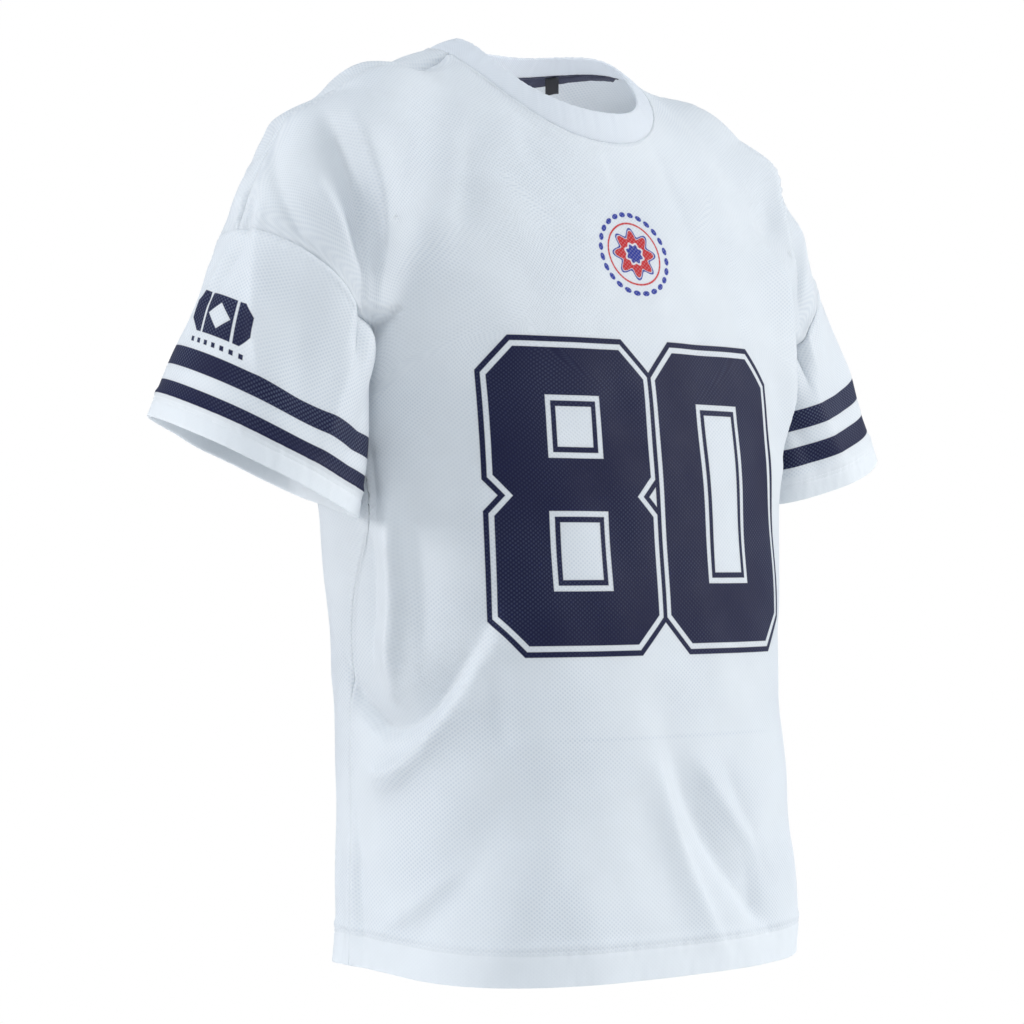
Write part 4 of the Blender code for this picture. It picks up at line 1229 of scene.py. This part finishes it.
def knit_material(name, dark=None, extra=None, white=WHITE, pitch=1.0, hem=0.0, shade_band=None,
                  shows=0.5):
    """Mesh knit, with painted shade in its eyelets. dark gives 1 where navy is printed, extra adds
    further printed colours, hem is the depth of the doubled edge, where the eyelets' painted shade
    and dents are weakened, shade_band gives 1 on a band of stronger painted shade in the eyelets,
    and shows is how clearly the white comes through the navy."""
    finish = bpy.data.materials.new(name)
    finish.use_nodes = True
    tree = finish.node_tree
    shader = tree.nodes["Principled BSDF"]
    u, v = place_on(tree, "cloth")
    hole = eyelets(u * (1 / pitch), v * (1 / pitch))
    # In the doubled hem the eyelets are mostly closed, both their painted shade and their dents.
    if hem:
        hole = hole * (v.within(hem, 0.002) * -0.85 + 1.0)
    cloud = tree.nodes.new("ShaderNodeTexNoise")
    cloud.inputs["Scale"].default_value = 34.0
    cloud.inputs["Detail"].default_value = 3.0
    where = tree.nodes.new("ShaderNodeTexCoord")
    tree.links.new(where.outputs["Object"], cloud.inputs["Vector"])
    uneven = Field(tree, cloud.outputs[0])
    pale = mixed(tree, (uneven - 0.35).math("MULTIPLY", 1.4, clamp=True), white,
                 tuple(c * 0.965 for c in white))
    patchy = tree.nodes.new("ShaderNodeTexNoise")
    patchy.inputs["Scale"].default_value = 11.0
    patchy.inputs["Detail"].default_value = 1.0
    tree.links.new(where.outputs["Object"], patchy.inputs["Vector"])
    clear = (Field(tree, patchy.outputs[0]) - 0.36).math("MULTIPLY", 3.4, clamp=True)
    strength = clear * 0.65 + 0.30
    # Painted shade: along the band the eyelets are darkened more strongly.
    if shade_band:
        strength = strength + shade_band(tree) * 0.6
    # Painted shade: each eyelet is mixed towards a cool grey, standing for the shaded inside seen through
    # the hole; its strength varies at random over the cloth.
    colour = mixed(tree, hole * strength, pale, EYELET_SHADE)
    if dark:
        ink = dark(tree)
        inked = mixed(tree, hole * (clear * 0.8 + 0.2) * shows, NAVY, NAVY_EYELET)
        colour = mixed(tree, ink, colour, inked)
    if extra:
        for mask, tint in extra(tree):
            colour = mixed(tree, mask * (hole * -0.25 + 1.0), colour, tint)
    tree.links.new(colour, shader.inputs["Base Color"])
    rough = uneven.math("MULTIPLY_ADD", 0.16, 0.50)
    tree.links.new(rough.socket, shader.inputs["Roughness"])
    shader.inputs["Sheen Weight"].default_value = 0.08
    shader.inputs["Sheen Roughness"].default_value = 0.35
    shader.inputs["Specular IOR Level"].default_value = 0.22
    rib = (u * (2 * math.pi / (EYELET_ACROSS / 4 * pitch))).math("SINE")
    height = hole * -1.0 + rib * 0.10 + uneven * 0.6
    bump = tree.nodes.new("ShaderNodeBump")
    bump.inputs["Strength"].default_value = 0.55
    bump.inputs["Distance"].default_value = 0.00035
    tree.links.new(height.socket, bump.inputs["Height"])
    tree.links.new(bump.outputs[0], shader.inputs["Normal"])
    through = tree.nodes.new("ShaderNodeBsdfTranslucent")
    tree.links.new(colour, through.inputs["Color"])
    both = tree.nodes.new("ShaderNodeMixShader")
    both.inputs[0].default_value = THIN
    tree.links.new(shader.outputs[0], both.inputs[1])
    tree.links.new(through.outputs[0], both.inputs[2])
    tree.links.new(both.outputs[0], tree.nodes["Material Output"].inputs["Surface"])
    return finish


# %% [markdown]
# ## The number, the badge and the stripes
# The number is made of two plain block figures with cut corners. Their colours are bands of one
# distance: a navy rim, a white line inside it, then navy. Above it sits a round flower badge in
# blue and red, and both sleeves carry two navy stripes round the cuff.

# %% Number
FIGURE_WIDTH = 0.174
FIGURE_TOP = -0.251
FIGURE_FOOT = -0.519
NUMBER_MIDDLE = -0.0085              # a little to the wearer's right
FIGURE_CUT = 0.030                   # how much of each corner is cut off
FIGURE_NOTCH = 0.013
FIGURE_LINE = 0.0047
PRINT_SOFT = 0.0006
SLANT = math.sqrt(0.5)


def box_field(x, y, half_x, half_y):
    return (x.size() - half_x).upper(y.size() - half_y)


def figure(x, y, notch, counters):
    """Distance to the rim of a block figure; counters are middle height and half sizes."""
    half_x, half_y = FIGURE_WIDTH / 2, (FIGURE_TOP - FIGURE_FOOT) / 2
    shape = box_field(x, y, half_x, half_y)
    corner = (x.size() + y.size() - (half_x + half_y - FIGURE_CUT)) * SLANT
    shape = shape.upper(corner)
    if notch:
        shape = shape.upper((x.size() - y.size() - (half_x - FIGURE_NOTCH)) * SLANT)
    for middle, wide, tall in counters:
        shape = shape.upper(-box_field(x, y - middle, wide, tall))
    return shape


def number_ink(tree):
    u, v = place_on(tree, "print")
    y = v - (FIGURE_TOP + FIGURE_FOOT) / 2
    apart = (FIGURE_WIDTH - FIGURE_LINE) / 2
    eight = figure(u - (NUMBER_MIDDLE - apart), y, True,
                   [(0.058, 0.0175, 0.017), (-0.046, 0.0195, 0.024)])
    nought = figure(u - (NUMBER_MIDDLE + apart), y, False, [(0.004, 0.019, 0.068)])
    rim = eight.lower(nought)
    ink = rim.within(0.0, PRINT_SOFT)
    line = rim.within(-FIGURE_LINE, PRINT_SOFT) * ((-rim).within(2 * FIGURE_LINE, PRINT_SOFT))
    return ink * (line * -1.0 + 1.0)


# %% Badge
BADGE_HEIGHT = -0.175
BADGE_SIZE = 0.038
BADGE_BROAD = 1.16                   # it is a little broader than tall on the cloth
BADGE_PETALS = 8
BADGE_BEADS = 24


def badge_inks(tree):
    u, v = place_on(tree, "print")
    x, y = (u + 0.003) * (1 / BADGE_BROAD), v - BADGE_HEIGHT
    away = length_of(x, y)
    turn = y.math("ARCTAN2", x)
    wave = (turn * BADGE_PETALS).math("COSINE")
    petals = away - (wave * 0.0034 + 0.0200)
    hub = away - (wave * -0.0010 + 0.0098)
    bead_turn = (turn * (BADGE_BEADS / (2 * math.pi)) + 50.0).math("FRACT") - 0.5
    bead_along = bead_turn * (2 * math.pi * (BADGE_SIZE - 0.003) / BADGE_BEADS)
    beads = length_of(bead_along, (away - (BADGE_SIZE - 0.003)) * 1.5) - 0.0034
    ring = (away - 0.0272).size() - 0.0008
    soft = PRINT_SOFT
    return [(ring.within(0, soft), RED), (petals.within(0, soft), BLUE),
            (petals.within(-0.0018, soft), WHITE), (petals.within(-0.0026, soft), RED),
            (hub.within(0, soft), WHITE), (hub.within(-0.0020, soft), BLUE),
            (beads.within(0, soft), BLUE)]


# %% Stripes and sleeve mark
# for each sleeve: from the cuff's edge to the lower stripe, then lower stripe, gap, upper stripe
STRIPES = {"right": (0.0213, 0.0128, 0.0140, 0.0172), "left": (0.0315, 0.0175, 0.0155, 0.0180)}
MARK_UP = 0.099
MARK_ANGLE = 9
MARK_SCALE = 1.08
MARK_HALF_WIDTH = 0.0330
MARK_HALF_HEIGHT = 0.0165
MARK_DOT_PITCH = 0.0088


def stripe_field(tree, side):
    u, v = place_on(tree, "cloth")
    first, low_width, gap, top_width = STRIPES[side]
    low_stripe = (v - (first + low_width / 2)).size() - low_width / 2
    top_stripe = (v - (first + low_width + gap + top_width / 2)).size() - top_width / 2
    return u, v, low_stripe.lower(top_stripe)


def stripes_only(tree):
    return stripe_field(tree, "left")[2].within(0.0, PRINT_SOFT)


def mark_place():
    """Where on the right sleeve's map the mark sits: round the sleeve, from its own angle."""
    made = sleeves["right"]
    row = int(np.argmin(np.abs(made["from_cuff"].mean(1) - MARK_UP)))
    angle = arm_places(made["flat"][row])[:, 0]
    return float(made["around"][row][int(np.argmin(np.abs(angle - MARK_ANGLE)))])


MARK_AROUND = mark_place()
print("mark sits", round(MARK_AROUND, 3), "m round the sleeve")


def stripes_and_mark(tree):
    u, v, stripes = stripe_field(tree, "right")
    x, y = (u - MARK_AROUND) * (1 / MARK_SCALE), (v - MARK_UP) * (1 / MARK_SCALE)
    plate = box_field(x, y, MARK_HALF_WIDTH, MARK_HALF_HEIGHT)
    corner = (x.size() + y.size() - (MARK_HALF_WIDTH + MARK_HALF_HEIGHT - 0.009)) * SLANT
    cut_out = (x.size() + y.size() * 1.2 - 0.0125) * SLANT
    gap = (x.size() - 0.0165).size() - 0.0013
    plate = plate.upper(corner).upper(-cut_out).upper(-gap)
    dot_x = (x * (1 / MARK_DOT_PITCH) + 100.5).math("FRACT") - 0.5
    dots = box_field(dot_x * MARK_DOT_PITCH, y + 0.0235, 0.0019, 0.0019)
    dots = dots.upper(x.size() - MARK_DOT_PITCH * 3.5)
    return stripes.lower(plate).lower(dots).within(0.0, PRINT_SOFT)


# %% Painted shade line
PAINTED_LINE_HEIGHT = -0.588                # height of a band where the eyelets carry stronger painted shade
PAINTED_LINE_REACH = 0.115


# Painted shade: along a narrow band across the front the eyelets are darkened more.
def painted_eyelet_line(tree):
    u, v = place_on(tree, "print")
    return (v - PAINTED_LINE_HEIGHT).size().within(0.0014, 0.002) * u.size().within(PAINTED_LINE_REACH, 0.05)


# %% Materials on the cloth
front["piece"].data.materials.append(
    knit_material("mesh_knit_front", number_ink, badge_inks, hem=HEM_DEPTH, shade_band=painted_eyelet_line,
                  shows=0.35))
back["piece"].data.materials.append(knit_material("mesh_knit_back", hem=HEM_DEPTH))
sleeves["right"]["piece"].data.materials.append(
    knit_material("mesh_knit_right_sleeve", stripes_and_mark, hem=CUFF_HEM_DEPTH, shows=0.75))
sleeves["left"]["piece"].data.materials.append(
    knit_material("mesh_knit_left_sleeve", stripes_only, hem=CUFF_HEM_DEPTH, shows=0.75))
collar["piece"].data.materials.append(
    knit_material("collar_knit", white=(0.82, 0.85, 0.885), pitch=0.62))


# %% Woven tape and ribbon
def woven_material(name, colour, light, pitch):
    finish = bpy.data.materials.new(name)
    finish.use_nodes = True
    tree = finish.node_tree
    shader = tree.nodes["Principled BSDF"]
    u, v = place_on(tree, "cloth")
    rows = ((u + v) * (2 * math.pi / pitch)).math("SINE")
    backs = ((u - v) * (2 * math.pi / pitch)).math("SINE")
    weave = rows.upper(backs)
    tone = mixed(tree, weave.math("MULTIPLY_ADD", 0.5, 0.5, clamp=True), colour, light)
    tree.links.new(tone, shader.inputs["Base Color"])
    shader.inputs["Roughness"].default_value = 0.6
    shader.inputs["Sheen Weight"].default_value = 0.2
    bump = tree.nodes.new("ShaderNodeBump")
    bump.inputs["Strength"].default_value = 0.5
    bump.inputs["Distance"].default_value = 0.0002
    tree.links.new(weave.socket, bump.inputs["Height"])
    tree.links.new(bump.outputs[0], shader.inputs["Normal"])
    return finish


tape.data.materials.append(woven_material("navy_tape", (0.010, 0.012, 0.036),
                                          (0.030, 0.034, 0.075), 0.0011))
loop.data.materials.append(woven_material("black_ribbon", (0.006, 0.006, 0.008),
                                          (0.020, 0.020, 0.026), 0.0009))

# %% [markdown]
# ## Stitches
# A stitch is a short piece of thread that goes down into the cloth at both ends. Hundreds of
# them repeat along every hem, so Geometry Nodes places one small stitch on each point of a
# line, turned along the line, and the result is then turned into a plain mesh.

# %% Stitch tree
STITCH_LENGTH = 0.0024
STITCH_PITCH = 0.0029
THREAD = 0.00030
thread_finish = plain_material("white_thread", (0.84, 0.87, 0.90), 0.55)
thread_finish.node_tree.nodes["Principled BSDF"].inputs["Sheen Weight"].default_value = 0.3


def stitch_tree():
    """Threads on points: inputs Points, Thread and Finish; each point has a turn of its own."""
    tree = bpy.data.node_groups.new("stitches", "GeometryNodeTree")
    tree.interface.new_socket("Points", in_out="INPUT", socket_type="NodeSocketGeometry")
    tree.interface.new_socket("Length", in_out="INPUT", socket_type="NodeSocketFloat")
    tree.interface.new_socket("Thread", in_out="INPUT", socket_type="NodeSocketFloat")
    tree.interface.new_socket("Finish", in_out="INPUT", socket_type="NodeSocketMaterial")
    tree.interface.new_socket("Stitches", in_out="OUTPUT", socket_type="NodeSocketGeometry")
    new, link = tree.nodes.new, tree.links.new
    start = new("NodeGroupInput")
    end = new("NodeGroupOutput")
    arc = new("GeometryNodeCurveQuadraticBezier")
    arc.inputs["Resolution"].default_value = 4
    half = new("ShaderNodeMath")
    half.operation = "MULTIPLY"
    half.inputs[1].default_value = 0.5
    link(start.outputs["Length"], half.inputs[0])
    lift = new("ShaderNodeMath")
    lift.operation = "MULTIPLY"
    lift.inputs[1].default_value = 2.2
    link(start.outputs["Thread"], lift.inputs[0])
    sink = new("ShaderNodeMath")
    sink.operation = "MULTIPLY"
    sink.inputs[1].default_value = -1.0
    link(start.outputs["Thread"], sink.inputs[0])
    back_end = new("ShaderNodeMath")
    back_end.operation = "MULTIPLY"
    back_end.inputs[1].default_value = -1.0
    link(half.outputs[0], back_end.inputs[0])
    for socket, across, up in (("Start", back_end, sink), ("Middle", None, lift),
                               ("End", half, sink)):
        join = new("ShaderNodeCombineXYZ")
        if across:
            link(across.outputs[0], join.inputs[0])
        link(up.outputs[0], join.inputs[2])
        link(join.outputs[0], arc.inputs[socket])
    ring = new("GeometryNodeCurvePrimitiveCircle")
    ring.inputs["Resolution"].default_value = 5
    link(start.outputs["Thread"], ring.inputs["Radius"])
    thread = new("GeometryNodeCurveToMesh")
    thread.inputs["Fill Caps"].default_value = True
    link(arc.outputs[0], thread.inputs["Curve"])
    link(ring.outputs[0], thread.inputs["Profile Curve"])
    turn = new("GeometryNodeInputNamedAttribute")
    turn.data_type = "FLOAT_VECTOR"
    turn.inputs["Name"].default_value = "turn"
    spread = new("GeometryNodeInstanceOnPoints")
    link(start.outputs["Points"], spread.inputs["Points"])
    link(thread.outputs[0], spread.inputs["Instance"])
    link(turn.outputs[0], spread.inputs["Rotation"])
    solid = new("GeometryNodeRealizeInstances")
    link(spread.outputs[0], solid.inputs[0])
    smooth = new("GeometryNodeSetShadeSmooth")
    link(solid.outputs[0], smooth.inputs[0])
    dress = new("GeometryNodeSetMaterial")
    link(smooth.outputs[0], dress.inputs[0])
    link(start.outputs["Finish"], dress.inputs["Material"])
    link(dress.outputs[0], end.inputs[0])
    return tree


stitches = stitch_tree()


# %% Stitching a line
def stitch_lines(name, lines):
    """Stitches along lines of points, each with the way out of the cloth at every point."""
    from mathutils import Matrix
    places, turns = [], []
    for points, normals in lines:
        run = lengths(points)
        count = int(run[-1] / STITCH_PITCH)
        middle = (np.arange(count) + 0.5) * run[-1] / count
        at = at_lengths(points, middle)
        ahead = unit(at_lengths(points, middle + 0.0005) - at_lengths(points, middle - 0.0005))
        square = unit(at_lengths_of(normals, run, middle))
        side = unit(np.cross(square, ahead))
        square = np.cross(ahead, side)
        for p, a, s, n in zip(at, ahead, side, square):
            turns.append(tuple(Matrix((a, s, n)).transposed().to_euler()))
            places.append(tuple(p))
    mesh = bpy.data.meshes.new(name)
    mesh.from_pydata(places, [], [])
    turn = mesh.attributes.new("turn", "FLOAT_VECTOR", "POINT")
    turn.data.foreach_set("vector", np.array(turns, np.float32).ravel())
    holder = bpy.data.objects.new(name + "_points", mesh)
    bpy.context.collection.objects.link(holder)
    modifier = holder.modifiers.new("stitches", "NODES")
    modifier.node_group = stitches
    sockets = {item.name: item.identifier for item in stitches.interface.items_tree
               if item.in_out == "INPUT"}
    modifier[sockets["Length"]] = STITCH_LENGTH
    modifier[sockets["Thread"]] = THREAD / 2
    modifier[sockets["Finish"]] = thread_finish
    evaluated = holder.evaluated_get(bpy.context.evaluated_depsgraph_get())
    made = bpy.data.meshes.new_from_object(evaluated)
    holder.modifiers.clear()
    bpy.data.objects.remove(holder)
    item = bpy.data.objects.new(name, made)
    bpy.context.collection.objects.link(item)
    print(name, len(places), "stitches", len(made.polygons), "faces")
    return item


def line_at(grid, normals, away, place):
    """The line across a grid where every column is so far from its start."""
    points, squares = [], []
    for column in range(grid.shape[1]):
        run = away[:, column]
        order = np.argsort(run)
        points.append([np.interp(place, run[order], grid[order, column, axis])
                       for axis in range(3)])
        squares.append([np.interp(place, run[order], normals[order, column, axis])
                        for axis in range(3)])
    return np.array(points), unit(np.array(squares))


def closed_line(line):
    points, normals = line
    return np.concatenate([points, points[:1]]), np.concatenate([normals, normals[:1]])


COLLAR_STITCH = 0.0050               # from the neckline down the body
hem_lines = []
for panel in (front, back):
    for place in HEM_STITCHES:
        hem_lines.append(line_at(panel["skin"], panel["normals"], panel["from_hem"], place))
hem_stitches = stitch_lines("stitches_hem", hem_lines)

cuff_stitches = {}
for side, made in sleeves.items():
    lines = [closed_line(line_at(made["skin"], made["normals"], made["from_cuff"], place))
             for place in CUFF_STITCHES]
    cuff_stitches[side] = stitch_lines("stitches_cuff_" + side, lines)

neck_lines = []
for panel in (front, back):
    points, normals = line_at(panel["skin"], panel["normals"], panel["from_top"], COLLAR_STITCH)
    top = panel["skin"][-1]
    near_neck = (np.abs(top[:, 0]) < NECK_HALF_WIDTH - 0.001) & (np.abs(top[:, 0]) < 1)
    neck_lines.append((points[near_neck], normals[near_neck]))
neck_stitches = stitch_lines("stitches_neck", neck_lines)

# %% [markdown]
# ## Handing the pieces over
# Every piece of cloth takes the place of its solid and rides on the same body. The area of each
# piece is printed, because cloth can hang in any shape but hardly changes its area.


# %% Pieces in place of the solids
def flat_size(grid_map):
    """The widest and tallest stretch of a piece's map."""
    return [float(np.ptp(grid_map[..., 0])), float(np.ptp(grid_map[..., 1]))]


def area_of(item):
    mesh = item.data
    areas = np.zeros(len(mesh.polygons))
    mesh.polygons.foreach_get("area", areas)
    return float(areas.sum() / 2)


pieces = [
    (front["piece"], "front_panel", "mesh_knit"),
    (back["piece"], "back_panel", "mesh_knit"),
    (sleeves["left"]["piece"], "sleeve_left", "mesh_knit"),
    (sleeves["right"]["piece"], "sleeve_right", "mesh_knit"),
    (collar["piece"], "collar", "collar_knit"),
    (tape, "neck_tape", "navy_tape"),
    (loop, "label_tab", "black_ribbon"),
]
for item, node, slot in pieces:
    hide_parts(node)
    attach(item, "root")
for item in (hem_stitches, neck_stitches, *cuff_stitches.values()):
    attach(item, "root")
for item, _, _ in pieces:
    print(item.name, "area", round(area_of(item), 4))
